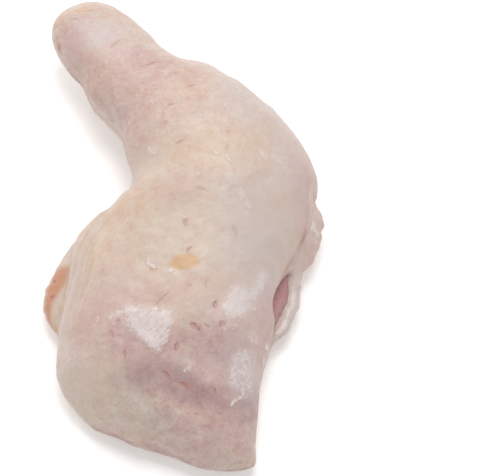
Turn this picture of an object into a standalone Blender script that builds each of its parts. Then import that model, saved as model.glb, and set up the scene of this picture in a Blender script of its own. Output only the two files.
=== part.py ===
"""Raw chicken leg quarter with its skin on, lying on its inner side with the outer side up.

One closed loft makes the whole leg. Its ribs cross the leg from the rear edge to the front edge, from the
hock at +Y down the drumstick, round the knee and along the thigh to the hem at -Y. Both ends are rounded
over. The skin lip of the front edge and the fat tag of the rear edge are folds pushed out of its sides, and
a groove parts the two knuckles of the hock. All sizes in this file are millimetres. The leg rests on
z = 0, and the origin is under the middle of its bounds.
"""

import bmesh
import bpy
import numpy as np

MM = 0.001

# Mesh fineness: ribs along the leg, points round a rib, and how much closer they stand at the two edges
BODY_RIBS = 92
RIB_POINTS = 56
EDGE_CROWDING = 0.55

# Outline powers of a rib: 2 is an ellipse, more is squarer
ACROSS_POWER = 2.3
CROWN_POWER = 2.2
KEEL_POWER = 3.2

# Each rib: rear edge x, y; front edge x, y; height of both edges; crown above them; keel below them
RIBS = {
    "tip": (-58.0, 85.0, -33.5, 98.5, 24.5, 13.0, 13.0),
    "knuckle": (-54.5, 81.0, -28.5, 92.5, 24.5, 13.5, 13.5),
    "knob": (-50.0, 72.5, -21.5, 86.5, 24.0, 14.5, 14.0),
    "shank": (-39.5, 55.5, -9.5, 72.0, 24.5, 16.5, 16.5),
    "calf": (-27.5, 38.5, 9.0, 64.5, 25.0, 19.5, 20.5),
    "belly": (-21.5, 26.0, 29.5, 51.0, 25.5, 22.0, 26.0),
    "knee": (-20.0, 14.0, 46.0, 33.0, 23.5, 23.5, 24.5),
    "crook": (-30.5, 3.5, 53.0, 13.5, 21.0, 24.5, 22.0),
    "thigh": (-41.0, -6.5, 49.5, -3.5, 18.0, 25.0, 19.0),
    "middle": (-45.5, -27.0, 39.5, -23.0, 15.5, 25.5, 16.5),
    "loin": (-48.0, -48.0, 34.0, -50.0, 13.5, 24.5, 14.5),
    "rump": (-47.5, -62.0, 30.0, -68.5, 11.5, 23.0, 12.5),
    "hem": (-44.0, -69.5, 29.0, -84.0, 9.5, 20.5, 10.5),
    "edge": (-35.5, -79.5, 28.5, -96.5, 8.0, 18.0, 9.0),
}

# Rounding of the two ends, and the bow of the hem, which starts this far from the edge
TIP_ROUNDING = 12.5
HEM_ROUNDING = 15.0
HEM_CORNER = 3.0
HEM_BOW = 3.5
HEM_BOW_LEAN = 1.4
HEM_BOW_START = 45.0

# Low swells and hollows of the upper side: x, y, reach, height. They fade where the crown is low
SWELL_FULL_CROWN = 12.0
SWELLS = (
    (-4.0, -60.0, 15.0, -3.0),
    (-30.0, -58.0, 13.0, 2.0),
    (16.0, -52.0, 12.0, 1.5),
    (-22.0, 20.0, 9.0, -2.0),
    (8.0, 24.0, 20.0, 1.5),
    (-27.0, -6.0, 7.0, -1.5),
)

# Side folds, from the hem up: y of the edge, push outward, height of its middle, half height
FRONT_LIP = (
    (-51.0, 0.0, 7.0, 4.0),
    (-46.0, 1.5, 7.5, 4.5),
    (-40.0, 5.5, 8.0, 5.0),
    (-33.0, 8.5, 9.0, 5.5),
    (-25.0, 8.5, 9.5, 5.5),
    (-17.0, 6.0, 10.5, 5.5),
    (-9.0, 6.5, 11.0, 6.0),
    (0.0, 5.5, 12.5, 6.5),
    (7.0, 4.5, 13.5, 6.5),
    (12.0, 1.5, 15.0, 6.0),
    (16.0, 0.0, 16.5, 5.0),
)
REAR_TAG = (
    (-46.0, 0.0, 7.0, 4.0),
    (-42.0, 2.0, 7.5, 4.5),
    (-36.0, 7.0, 8.0, 5.5),
    (-29.0, 9.5, 8.5, 6.0),
    (-21.0, 9.0, 9.5, 6.0),
    (-13.0, 5.5, 11.0, 5.5),
    (-5.0, 1.5, 12.0, 5.0),
    (0.0, 0.0, 12.5, 4.5),
)
FOLD_INNER_EDGE = 0.55
CREASE_DEPTH = 0.35
CREASE_ABOVE = 1.6
CREASE_HALF_HEIGHT = 0.45

# The groove between the knuckles, which ends below the skin of the upper side, and the swell of each knuckle
GROOVE_DEPTH = 4.5
GROOVE_HALF_WIDTH = 2.8
GROOVE_TOP = 2.5
GROOVE_FADE = 1.5
KNUCKLE_SWELL = 1.5
KNUCKLE_SPREAD = 6.5


def smooth_rows(knots, rows, at):
    """Rows of numbers read at new places along a cubic curve through the rows at the knots."""
    step = np.diff(knots)[:, None]
    slope = np.diff(rows, axis=0) / step
    inner = (slope[:-1] * step[1:] + slope[1:] * step[:-1]) / (step[1:] + step[:-1])
    tangent = np.vstack([2 * slope[:1] - inner[:1], inner, 2 * slope[-1:] - inner[-1:]])
    at = np.clip(at, knots[0], knots[-1])
    cell = np.clip(np.searchsorted(knots, at, side="right") - 1, 0, len(knots) - 2)
    width = step[cell]
    t = ((at - knots[cell]) / width[:, 0])[:, None]
    return (
        (1 + 2 * t) * (1 - t) ** 2 * rows[cell]
        + t * (1 - t) ** 2 * width * tangent[cell]
        + t**2 * (3 - 2 * t) * rows[cell + 1]
        + t**2 * (t - 1) * width * tangent[cell + 1]
    )


def path_lengths(points):
    """Length along a path up to each of its points."""
    return np.concatenate([[0.0], np.cumsum(np.linalg.norm(np.diff(points, axis=0), axis=1))])


def squared_off(wave, power):
    """A sine or cosine bent so that the ring it draws is an ellipse at power 2 and squarer above it."""
    return np.sign(wave) * np.abs(wave) ** (2 / power)


def quarter_round(distance, radius):
    """Share of the full size that a quarter round leaves at a distance from its rim."""
    share = np.clip(distance / radius, 0, 1)
    return np.sqrt(share * (2 - share))


def bell(distance, reach):
    """A smooth bump of height 1 that fades away over the reach."""
    return np.exp(-((distance / reach) ** 2))


def swell_height(x, y):
    """Height that the swells and hollows add to the upper side."""
    total = np.zeros_like(x)
    for middle_x, middle_y, reach, height in SWELLS:
        total += height * bell(np.hypot(x - middle_x, y - middle_y), np.sqrt(2) * reach)
    return total


def fold_push(table, edge_y, height, across):
    """Outward push of a side fold, with the crease above it, for places at a share across from the middle."""
    rows = np.array(table)
    row = smooth_rows(rows[:, 0], rows[:, 1:], edge_y)[:, None, :]
    push, middle, half = row[..., 0], row[..., 1], row[..., 2]
    fold = bell(height - middle, half)
    crease = CREASE_DEPTH * bell(height - middle - CREASE_ABOVE * half, CREASE_HALF_HEIGHT * half)
    near_edge = np.clip((across - FOLD_INNER_EDGE) / (1 - FOLD_INNER_EDGE), 0, 1)
    return push * (fold - crease) * np.sqrt(near_edge)


def knuckle_shift(side, above, from_tip):
    """Shift toward the shank for a place beside and above the tip: the groove less the two swells."""
    groove = GROOVE_DEPTH * bell(side, GROOVE_HALF_WIDTH)
    swells = KNUCKLE_SWELL * bell(np.abs(side) - KNUCKLE_SPREAD, GROOVE_HALF_WIDTH)
    low = 1 / (1 + np.exp((above - GROOVE_TOP) / GROOVE_FADE))
    return (groove - swells) * low * (1 - quarter_round(from_tip, TIP_ROUNDING))


def loft_points(along, around):
    """Points of the loft at shares along the leg and at angles from the front edge over the crown."""
    rows = np.array(list(RIBS.values()))
    knots = (path_lengths(rows[:, 0:2]) + path_lengths(rows[:, 2:4])) / 2
    rib = smooth_rows(knots, rows, along * knots[-1])
    rear, front = rib[:, 0:2], rib[:, 2:4]
    edge, crown, keel = (rib[:, [column]] for column in (4, 5, 6))
    from_tip = (along * knots[-1])[:, None]
    to_hem = knots[-1] - from_tip

    reach = np.linalg.norm(front - rear, axis=1, keepdims=True) / 2
    outward = (front - rear) / 2 / reach
    toward_hem = np.stack([outward[:, 1], -outward[:, 0]], -1)
    tip_round = quarter_round(from_tip, TIP_ROUNDING)
    hem_round = quarter_round(to_hem, HEM_ROUNDING)
    reach = reach * tip_round - HEM_CORNER * (1 - quarter_round(to_hem, HEM_CORNER))
    crown, keel = crown * tip_round * hem_round, keel * tip_round * hem_round

    sine = np.sin(around)[None, :]
    across = squared_off(np.cos(around)[None, :], ACROSS_POWER)
    rise = squared_off(sine, np.where(sine > 0, CROWN_POWER, KEEL_POWER))
    height = edge + np.where(sine > 0, crown, keel) * rise
    side = reach * across
    side = side + fold_push(FRONT_LIP, front[:, 1], height, across)
    side = side - fold_push(REAR_TAG, rear[:, 1], height, -across)
    bow_share = np.clip(1 - to_hem / HEM_BOW_START, 0, 1) ** 2
    shift = HEM_BOW * bow_share * (1 - across**2) * (1 + HEM_BOW_LEAN * across)
    shift = shift + knuckle_shift(side, height - edge, from_tip)
    plan = ((front + rear) / 2)[:, None, :] + outward[:, None, :] * side[..., None]
    plan = plan + toward_hem[:, None, :] * shift[..., None]

    x, y = plan[..., 0], plan[..., 1]
    height = height + np.clip(rise, 0, 1) * np.clip(crown / SWELL_FULL_CROWN, 0, 1) * swell_height(x, y)
    return np.stack([x, y, np.maximum(height, 0)], -1)


def centred(points):
    """The points moved level so that the middle of their bounds stands over the origin."""
    flat = points.reshape(-1, 3)
    middle = (flat.min(axis=0) + flat.max(axis=0)) / 2
    return points - middle * np.array([1, 1, 0])


def ring_solid(name, points):
    """An object with a closed mesh through rings of points. Points that meet at the ends are merged."""
    rings, sides = points.shape[:2]
    ring, side = np.meshgrid(np.arange(rings - 1), np.arange(sides), indexing="ij")
    first, beside = ring * sides, (side + 1) % sides
    corners = np.stack([first + side, first + beside, first + sides + beside, first + sides + side], -1)
    mesh = bpy.data.meshes.new(name)
    mesh.from_pydata((points.reshape(-1, 3) * MM).tolist(), [], corners.reshape(-1, 4).tolist())
    work = bmesh.new()
    work.from_mesh(mesh)
    bmesh.ops.remove_doubles(work, verts=work.verts, dist=1e-6)
    bmesh.ops.recalc_face_normals(work, faces=work.faces)
    work.to_mesh(mesh)
    work.free()
    solid = bpy.data.objects.new(name, mesh)
    bpy.context.scene.collection.objects.link(solid)
    return solid


def raw_skin():
    """Moist pale skin."""
    skin = bpy.data.materials.new("raw skin")
    skin.use_nodes = True
    surface = skin.node_tree.nodes["Principled BSDF"]
    surface.inputs["Base Color"].default_value = (0.70, 0.52, 0.44, 1.0)
    surface.inputs["Roughness"].default_value = 0.38
    surface.inputs["Metallic"].default_value = 0.0
    return skin


def main():
    """Builds the leg quarter as one solid."""
    for old in list(bpy.data.objects):
        bpy.data.objects.remove(old)
    along = (1 - np.cos(np.linspace(0, np.pi, BODY_RIBS))) / 2
    turn = np.linspace(0, 2 * np.pi, RIB_POINTS, endpoint=False)
    around = turn - EDGE_CROWDING * np.sin(2 * turn) / 2
    leg = ring_solid("leg_quarter", centred(loft_points(along, around)))
    leg.data.materials.append(raw_skin())
    leg.data.shade_smooth()


main()
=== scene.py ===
"""Looks of a raw chicken leg quarter: moist skin with folds, pores and frost, meat, fat and gristle at its cuts.

The leg is one lofted form, crossed by ribs from the rear edge to the front edge. The skin is that form with
relief on it, sunk at three windows where the skin is cut away. The meat and the hock gristle are the same
form a little further in, and they fill the windows. Sizes and places are millimetres in the part's frame,
and become metres where a mesh is made.
"""

from __future__ import annotations

import logging
from dataclasses import astuple, dataclass, field
from enum import Enum
import bmesh
import bpy
import numpy as np
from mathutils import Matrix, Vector


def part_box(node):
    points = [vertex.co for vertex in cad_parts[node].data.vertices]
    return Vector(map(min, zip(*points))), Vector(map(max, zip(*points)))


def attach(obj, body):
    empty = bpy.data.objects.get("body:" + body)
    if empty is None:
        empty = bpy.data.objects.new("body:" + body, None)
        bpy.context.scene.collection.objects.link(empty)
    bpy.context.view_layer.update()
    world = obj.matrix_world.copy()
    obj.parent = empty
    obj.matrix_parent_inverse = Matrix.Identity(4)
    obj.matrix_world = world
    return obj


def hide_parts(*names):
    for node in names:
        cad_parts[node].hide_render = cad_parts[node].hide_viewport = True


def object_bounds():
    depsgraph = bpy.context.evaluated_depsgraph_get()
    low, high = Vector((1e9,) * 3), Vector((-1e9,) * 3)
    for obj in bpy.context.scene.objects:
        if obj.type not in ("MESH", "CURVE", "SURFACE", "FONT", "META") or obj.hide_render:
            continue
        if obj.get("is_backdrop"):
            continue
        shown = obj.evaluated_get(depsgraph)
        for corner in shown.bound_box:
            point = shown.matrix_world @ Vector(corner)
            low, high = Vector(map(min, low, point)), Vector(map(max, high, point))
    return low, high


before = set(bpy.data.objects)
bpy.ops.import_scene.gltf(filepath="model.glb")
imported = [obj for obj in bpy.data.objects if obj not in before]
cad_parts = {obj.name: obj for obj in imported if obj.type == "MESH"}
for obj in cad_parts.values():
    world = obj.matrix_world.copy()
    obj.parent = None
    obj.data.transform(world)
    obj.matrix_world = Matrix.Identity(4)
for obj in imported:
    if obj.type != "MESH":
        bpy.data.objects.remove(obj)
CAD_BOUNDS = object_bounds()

LOG = logging.getLogger("leg_quarter")
MM = 0.001
NODE = "leg_quarter"
Colour = tuple[float, float, float]
Socket = bpy.types.NodeSocket


def bell(distance: np.ndarray, reach: float | np.ndarray) -> np.ndarray:
    """A smooth bump: 1 at no distance, and exp(-(distance / reach) squared) elsewhere."""
    return np.exp(-((distance / reach) ** 2))


def step(value: np.ndarray, start: float = 0.0, end: float = 1.0) -> np.ndarray:
    """A smooth rise from 0 at start to 1 at end: 3 t squared - 2 t cubed."""
    t = np.clip((value - start) / (end - start), 0, 1)
    return t * t * (3 - 2 * t)


def squared_off(wave: np.ndarray, power: float | np.ndarray) -> np.ndarray:
    """A sine or cosine whose size is raised to 2 / power, so that the ring it draws is squarer above power 2."""
    return np.sign(wave) * np.abs(wave) ** (2 / power)


def quarter_round(distance: np.ndarray, radius: float) -> np.ndarray:
    """Share of the full size that a quarter round leaves at a distance from its rim: root of t (2 - t)."""
    share = np.clip(distance / radius, 0, 1)
    return np.sqrt(share * (2 - share))


def path_lengths(points: np.ndarray) -> np.ndarray:
    """Length along a path up to each of its points: the running sum of the distances between them."""
    return np.concatenate([[0.0], np.cumsum(np.linalg.norm(np.diff(points, axis=0), axis=1))])


def smooth_rows(knots: np.ndarray, rows: np.ndarray, at: np.ndarray) -> np.ndarray:
    """Rows of numbers read between their knots along a cubic Hermite curve.

    Args:
        knots: rising places of the rows.
        rows: one row of numbers for each knot.
        at: places to read at. Beyond the ends the first or the last row holds.

    Returns:
        One row for each place.
    """
    gap = np.diff(knots)[:, None]
    slope = np.diff(rows, axis=0) / gap
    inner = (slope[:-1] * gap[1:] + slope[1:] * gap[:-1]) / (gap[1:] + gap[:-1])
    tangent = np.vstack([2 * slope[:1] - inner[:1], inner, 2 * slope[-1:] - inner[-1:]])
    at = np.clip(at, knots[0], knots[-1])
    cell = np.clip(np.searchsorted(knots, at, side="right") - 1, 0, len(knots) - 2)
    width = gap[cell]
    t = ((at - knots[cell]) / width[:, 0])[:, None]
    return (
        (1 + 2 * t) * (1 - t) ** 2 * rows[cell]
        + t * (1 - t) ** 2 * width * tangent[cell]
        + t**2 * (3 - 2 * t) * rows[cell + 1]
        + t**2 * (t - 1) * width * tangent[cell + 1]
    )


def ripple(points: np.ndarray, wavelength: float, seed: int, waves: int = 18, spread: float = 0.35) -> np.ndarray:
    """An uneven bumpy field: the mean of cosines along random directions, scaled to a spread of about 1.

    Args:
        points: places, with x, y, z last.
        wavelength: mean distance between bumps, in the units of the places.
        seed: seed of the random directions and phases.
        waves: number of cosines.
        spread: how much the wavelengths differ, as a share.

    Returns:
        One value for each place.
    """
    rng = np.random.default_rng(seed)
    heading = rng.normal(size=(waves, 3))
    heading /= np.linalg.norm(heading, axis=1, keepdims=True)
    length = wavelength * (1 + spread * rng.uniform(-1, 1, waves))
    phase = rng.uniform(0, 2 * np.pi, waves)
    field_sum = np.zeros(points.shape[:-1])
    for k in range(waves):
        field_sum += np.cos(points @ (heading[k] * 2 * np.pi / length[k]) + phase[k])
    return field_sum / np.sqrt(waves / 2)


@dataclass(frozen=True)
class Rib:
    """One rib of the leg: its edge points in plan, the height of both, the crown above and the keel below."""

    rear_x: float
    rear_y: float
    front_x: float
    front_y: float
    edge: float
    crown: float
    keel: float


@dataclass(frozen=True)
class FoldRow:
    """One row of a side fold: y of the edge, push outward, height of its middle and half its height."""

    edge_y: float
    push: float
    middle: float
    half: float


@dataclass(frozen=True)
class Swell:
    """A low swell or hollow of the upper side: its middle in plan, its reach and its height."""

    x: float
    y: float
    reach: float
    height: float


RIBS = (
    Rib(-58.0, 85.0, -33.5, 98.5, 24.5, 13.0, 13.0),
    Rib(-54.5, 81.0, -28.5, 92.5, 24.5, 13.5, 13.5),
    Rib(-50.0, 72.5, -21.5, 86.5, 24.0, 14.5, 14.0),
    Rib(-39.5, 55.5, -9.5, 72.0, 24.5, 16.5, 16.5),
    Rib(-27.5, 38.5, 9.0, 64.5, 25.0, 19.5, 20.5),
    Rib(-21.5, 26.0, 29.5, 51.0, 25.5, 22.0, 26.0),
    Rib(-20.0, 14.0, 46.0, 33.0, 23.5, 23.5, 24.5),
    Rib(-30.5, 3.5, 53.0, 13.5, 21.0, 24.5, 22.0),
    Rib(-41.0, -6.5, 49.5, -3.5, 18.0, 25.0, 19.0),
    Rib(-45.5, -27.0, 39.5, -23.0, 15.5, 25.5, 16.5),
    Rib(-48.0, -48.0, 34.0, -50.0, 13.5, 24.5, 14.5),
    Rib(-47.5, -62.0, 30.0, -68.5, 11.5, 23.0, 12.5),
    Rib(-44.0, -69.5, 29.0, -84.0, 9.5, 20.5, 10.5),
    Rib(-35.5, -79.5, 28.5, -96.5, 8.0, 18.0, 9.0),
)
FRONT_LIP = (
    FoldRow(-51.0, 0.0, 7.0, 4.0),
    FoldRow(-46.0, 1.5, 7.5, 4.5),
    FoldRow(-40.0, 5.5, 8.0, 5.0),
    FoldRow(-33.0, 8.5, 9.0, 5.5),
    FoldRow(-25.0, 8.5, 9.5, 5.5),
    FoldRow(-17.0, 6.0, 10.5, 5.5),
    FoldRow(-9.0, 6.5, 11.0, 6.0),
    FoldRow(0.0, 5.5, 12.5, 6.5),
    FoldRow(7.0, 4.5, 13.5, 6.5),
    FoldRow(12.0, 1.5, 15.0, 6.0),
    FoldRow(16.0, 0.0, 16.5, 5.0),
)
REAR_TAG = (
    FoldRow(-46.0, 0.0, 7.0, 4.0),
    FoldRow(-42.0, 2.0, 7.5, 4.5),
    FoldRow(-36.0, 7.0, 8.0, 5.5),
    FoldRow(-29.0, 9.5, 8.5, 6.0),
    FoldRow(-21.0, 9.0, 9.5, 6.0),
    FoldRow(-13.0, 5.5, 11.0, 5.5),
    FoldRow(-5.0, 1.5, 12.0, 5.0),
    FoldRow(0.0, 0.0, 12.5, 4.5),
)
SWELLS = (
    Swell(-4.0, -60.0, 15.0, -3.0),
    Swell(-30.0, -58.0, 13.0, 2.0),
    Swell(16.0, -52.0, 12.0, 1.5),
    Swell(-22.0, 20.0, 9.0, -2.0),
    Swell(8.0, 24.0, 20.0, 1.5),
    Swell(-27.0, -6.0, 7.0, -1.5),
)


@dataclass
class LoftGrid:
    """Points of the form on a grid of ribs by places round them, with the measures that details are laid by.

    xyz has a rib, a place and x, y, z. Every other array fits its first two axes: side is the distance from
    the middle line toward the front edge, lower is 1 on the under half, and lip and tag are the heights above
    the middle of each side fold in half heights of the fold.
    """

    xyz: np.ndarray
    side: np.ndarray
    reach: np.ndarray
    height: np.ndarray
    edge: np.ndarray
    from_tip: np.ndarray
    to_hem: np.ndarray
    front_y: np.ndarray
    rear_y: np.ndarray
    lip: np.ndarray
    lip_push: np.ndarray
    tag: np.ndarray
    tag_push: np.ndarray
    lower: np.ndarray

    def normals(self) -> np.ndarray:
        """Outward unit normals: the slope round the rib crossed with the slope along the leg."""
        along = np.gradient(self.xyz, axis=0)
        around = np.roll(self.xyz, -1, axis=1) - np.roll(self.xyz, 1, axis=1)
        normal = np.cross(around, along)
        size = np.linalg.norm(normal, axis=2, keepdims=True)
        return normal / np.maximum(size, 1e-9)


@dataclass(frozen=True)
class LegForm:
    """The plain form of the leg, as the loft of its ribs with rounded ends, side folds and hock groove."""

    ribs: tuple[Rib, ...] = RIBS
    lip_rows: tuple[FoldRow, ...] = FRONT_LIP
    tag_rows: tuple[FoldRow, ...] = REAR_TAG
    swells: tuple[Swell, ...] = SWELLS
    across_power: float = 2.3
    crown_power: float = 2.2
    keel_power: float = 3.2
    tip_rounding: float = 12.5
    hem_rounding: float = 15.0
    hem_corner: float = 3.0
    hem_bow: float = 3.5
    hem_bow_lean: float = 1.4
    hem_bow_start: float = 45.0
    swell_full_crown: float = 12.0
    fold_inner_edge: float = 0.55
    crease_depth: float = 0.35
    crease_above: float = 1.6
    crease_half: float = 0.45
    groove_depth: float = 4.5
    groove_half: float = 2.8
    groove_top: float = 2.5
    groove_fade: float = 1.5
    knuckle_swell: float = 1.5
    knuckle_spread: float = 6.5
    scallop: float = 0.0
    shift: tuple[float, float] = (0.0, 0.0)

    def length(self) -> float:
        """Length of the form: the mean of its two edges."""
        return self._knots()[-1]

    def _rows(self) -> np.ndarray:
        """The ribs as rows of numbers."""
        return np.array([astuple(rib) for rib in self.ribs])

    def _knots(self) -> np.ndarray:
        """Place of each rib along the leg: the mean of the lengths of the two edges up to it."""
        rows = self._rows()
        return (path_lengths(rows[:, 0:2]) + path_lengths(rows[:, 2:4])) / 2

    def _fold(self, rows: tuple[FoldRow, ...], edge_y: np.ndarray, height: np.ndarray, across: np.ndarray):
        """Push of a side fold: push x (bell of the height - the crease above it), fading in from the middle.

        Returns:
            The push outward, the height above the fold's middle in half heights, and the row's full push.
        """
        table = np.array([astuple(row) for row in rows])
        row = smooth_rows(table[:, 0], table[:, 1:], edge_y)[:, None, :]
        push, middle, half = row[..., 0], row[..., 1], row[..., 2]
        level = (height - middle) / half
        scallop = 1 + self.scallop * np.sin(edge_y[:, None] * 1.15) * np.sin(edge_y[:, None] * 0.37 + 1)
        crease = self.crease_depth * bell(level - self.crease_above, self.crease_half)
        near_edge = np.clip((across - self.fold_inner_edge) / (1 - self.fold_inner_edge), 0, 1)
        return push * (bell(level, 1.0) * scallop - crease) * np.sqrt(near_edge), level, push

    def _knuckles(self, side: np.ndarray, above: np.ndarray, from_tip: np.ndarray) -> np.ndarray:
        """Shift toward the shank on the hock's end: a bell-shaped groove less a swell on each side of it."""
        groove = self.groove_depth * bell(side, self.groove_half)
        swells = self.knuckle_swell * bell(np.abs(side) - self.knuckle_spread, self.groove_half)
        low = 1 / (1 + np.exp((above - self.groove_top) / self.groove_fade))
        return (groove - swells) * low * (1 - quarter_round(from_tip, self.tip_rounding))

    def grid(self, along: np.ndarray, around: np.ndarray) -> LoftGrid:
        """Lays the form out on a grid.

        A rib is a ring whose across and rise are the cosine and sine of its angle, squared off. Across carries
        it from the rear edge to the front edge, and rise lifts it to the crown or sinks it to the keel.

        Args:
            along: distances from the tip, rising to the form's length.
            around: angles that start at the front edge and go over the crown.

        Returns:
            The grid of points with their measures.
        """
        knots = self._knots()
        rib = smooth_rows(knots, self._rows(), along)
        rear, front = rib[:, 0:2], rib[:, 2:4]
        edge, crown, keel = (rib[:, [column]] for column in (4, 5, 6))
        from_tip = along[:, None]
        to_hem = knots[-1] - from_tip
        reach = np.linalg.norm(front - rear, axis=1, keepdims=True) / 2
        outward = (front - rear) / 2 / reach
        toward_hem = np.stack([outward[:, 1], -outward[:, 0]], -1)
        tip_round = quarter_round(from_tip, self.tip_rounding)
        hem_round = quarter_round(to_hem, self.hem_rounding)
        reach = reach * tip_round - self.hem_corner * (1 - quarter_round(to_hem, self.hem_corner))
        crown, keel = crown * tip_round * hem_round, keel * tip_round * hem_round

        sine = np.sin(around)[None, :]
        across = squared_off(np.cos(around)[None, :], self.across_power)
        rise = squared_off(sine, np.where(sine > 0, self.crown_power, self.keel_power))
        height = edge + np.where(sine > 0, crown, keel) * rise
        lip_out, lip, lip_push = self._fold(self.lip_rows, front[:, 1], height, across)
        tag_out, tag, tag_push = self._fold(self.tag_rows, rear[:, 1], height, -across)
        side = reach * across + lip_out - tag_out
        bow_share = np.clip(1 - to_hem / self.hem_bow_start, 0, 1) ** 2
        onward = self.hem_bow * bow_share * (1 - across**2) * (1 + self.hem_bow_lean * across)
        onward = onward + self._knuckles(side, height - edge, from_tip)
        plan = ((front + rear) / 2)[:, None, :] + outward[:, None, :] * side[..., None]
        plan = plan + toward_hem[:, None, :] * onward[..., None]
        swelling = np.zeros_like(height)
        for swell in self.swells:
            away = np.hypot(plan[..., 0] - swell.x, plan[..., 1] - swell.y)
            swelling += swell.height * bell(away, np.sqrt(2) * swell.reach)
        height = height + np.clip(rise, 0, 1) * np.clip(crown / self.swell_full_crown, 0, 1) * swelling
        height = np.maximum(height, 0)
        xyz = np.concatenate([plan + np.array(self.shift), height[..., None]], -1)
        shape = height.shape
        whole = [np.broadcast_to(a, shape) for a in (reach, edge, from_tip, to_hem)]
        edges = [np.broadcast_to(a[:, None], shape) for a in (front[:, 1], rear[:, 1])]
        return LoftGrid(xyz, side, whole[0], height, whole[1], whole[2], whole[3], edges[0], edges[1],
                        lip, np.broadcast_to(lip_push, shape), tag, np.broadcast_to(tag_push, shape),
                        np.broadcast_to(sine < 0, shape))


@dataclass(frozen=True)
class GridPlan:
    """How fine a grid is: ribs and places round a rib, and how much closer the ribs stand at the two ends."""

    ribs: int
    places: int
    end_density: float = 6.0
    end_reach: float = 4.0
    under_share: float = 0.55
    probe_along: float = 118.0
    probes: int = 3000

    def along(self, length: float) -> np.ndarray:
        """Places along the leg whose density is 1 + end_density x exp(-distance to an end / end_reach)."""
        fine = np.linspace(0, length, self.probes)
        density = 1 + self.end_density * (np.exp(-fine / self.end_reach) + np.exp((fine - length) / self.end_reach))
        count = np.concatenate([[0.0], np.cumsum((density[1:] + density[:-1]) / 2)])
        return np.interp(np.linspace(0, count[-1], self.ribs), count, fine)

    def around(self, form: LegForm) -> np.ndarray:
        """Angles round a rib, evenly spaced by the path length of a rib, the same above and below the edges."""
        angle = np.linspace(0, np.pi, self.probes)
        both = np.concatenate([angle, -angle])
        ring = form.grid(np.array([self.probe_along]), both).xyz[0]
        upper, under = ring[: self.probes], ring[self.probes :]
        pace = np.linalg.norm(np.diff(upper, axis=0), axis=1)
        pace = pace + self.under_share * np.linalg.norm(np.diff(under, axis=0), axis=1)
        count = np.concatenate([[0.0], np.cumsum(pace)])
        half = np.interp(np.linspace(0, count[-1], self.places // 2 + 1), count, angle)
        return np.concatenate([half, 2 * np.pi - half[-2:0:-1]])


def make_piece(name: str, points: np.ndarray, masks: dict[str, np.ndarray], material: bpy.types.Material):
    """Makes a closed piece through a grid of rings and gives it its masks and material.

    Args:
        name: name of the piece.
        points: rings by places by x, y, z, in millimetres. Points that meet at the ends are merged.
        masks: colour attributes by name, each rings by places by red, green, blue.
        material: the piece's finish.

    Returns:
        The new object, shaded smooth.
    """
    rings, sides = points.shape[:2]
    ring, side = np.meshgrid(np.arange(rings - 1), np.arange(sides), indexing="ij")
    first, beside = ring * sides, (side + 1) % sides
    corners = np.stack([first + side, first + beside, first + sides + beside, first + sides + side], -1)
    mesh = bpy.data.meshes.new(name)
    mesh.from_pydata((points.reshape(-1, 3) * MM).tolist(), [], corners.reshape(-1, 4).tolist())
    for mask_name, values in masks.items():
        layer = mesh.color_attributes.new(mask_name, "FLOAT_COLOR", "POINT")
        colours = np.ones((rings * sides, 4), np.float32)
        colours[:, :3] = values.reshape(-1, 3)
        layer.data.foreach_set("color", colours.ravel())
    work = bmesh.new()
    work.from_mesh(mesh)
    bmesh.ops.remove_doubles(work, verts=work.verts, dist=1e-6)
    bmesh.ops.recalc_face_normals(work, faces=work.faces)
    work.to_mesh(mesh)
    work.free()
    mesh.shade_smooth()
    mesh.materials.append(material)
    piece = bpy.data.objects.new(name, mesh)
    bpy.context.scene.collection.objects.link(piece)
    return piece


def close_ends(points: np.ndarray) -> np.ndarray:
    """Draws the first ring to one point, and the last one to a line where its upper and under halves meet."""
    closed = points.copy()
    closed[0] = points[0].mean(axis=0)
    mirror = -np.arange(points.shape[1]) % points.shape[1]
    closed[-1] = (points[-1] + points[-1][mirror]) / 2
    closed[..., 2] = np.maximum(closed[..., 2], 0)
    return closed


def held_in_box(points: np.ndarray) -> np.ndarray:
    """The points drawn in to the box of the node's solid, where the relief would carry them past it."""
    low, high = (np.array(corner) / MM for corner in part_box(NODE))
    over = np.maximum(low - points, points - high).max(axis=-1)
    farthest = points[np.unravel_index(np.argmax(over), over.shape)]
    LOG.info("%.2f mm past the box at most, at %s", max(over.max(), 0), farthest.round(1))
    return np.clip(points, low, high)


class Tone(Enum):
    """The colours that the skin drifts between."""

    BLUSH = "blush"
    VIOLET = "violet"
    FAT = "fat"
    GREY = "grey"
    SALMON = "salmon"
    AMBER = "amber"
    RED = "red"
    ROSE = "rose"
    # Pale mauve: partly the skin's own tone, partly a painted sheen.
    LILAC_AND_SHEEN = "lilac"
    # Icy patches: partly real ice, partly painted highlights; the smallest spots are painted glints.
    FROST_AND_HIGHLIGHT = "frost"
    WET = "wet"


@dataclass(frozen=True)
class Zone:
    """A soft oval patch of one tone, seen from above.

    It has its middle in plan, half its length and width, the turn of its length from +X in degrees, and an
    amount from 0 to 1. Its power is 1 where it fades slowly, and more where its edge is steeper.
    """

    tone: Tone
    x: float
    y: float
    long: float
    wide: float
    turn: float = 0.0
    amount: float = 1.0
    power: float = 1.0

    def spread(self, xyz: np.ndarray) -> np.ndarray:
        """Amount of the patch at each place: amount x exp(-(u squared + v squared) to the power).

        Args:
            xyz: places, with x, y, z last.

        Returns:
            The amount at each place, where u and v are the place on the oval's own axes.
        """
        angle = np.radians(self.turn)
        dx, dy = xyz[..., 0] - self.x, xyz[..., 1] - self.y
        u = (dx * np.cos(angle) + dy * np.sin(angle)) / self.long
        v = (dy * np.cos(angle) - dx * np.sin(angle)) / self.wide
        return self.amount * np.exp(-((u**2 + v**2) ** self.power))


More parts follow.
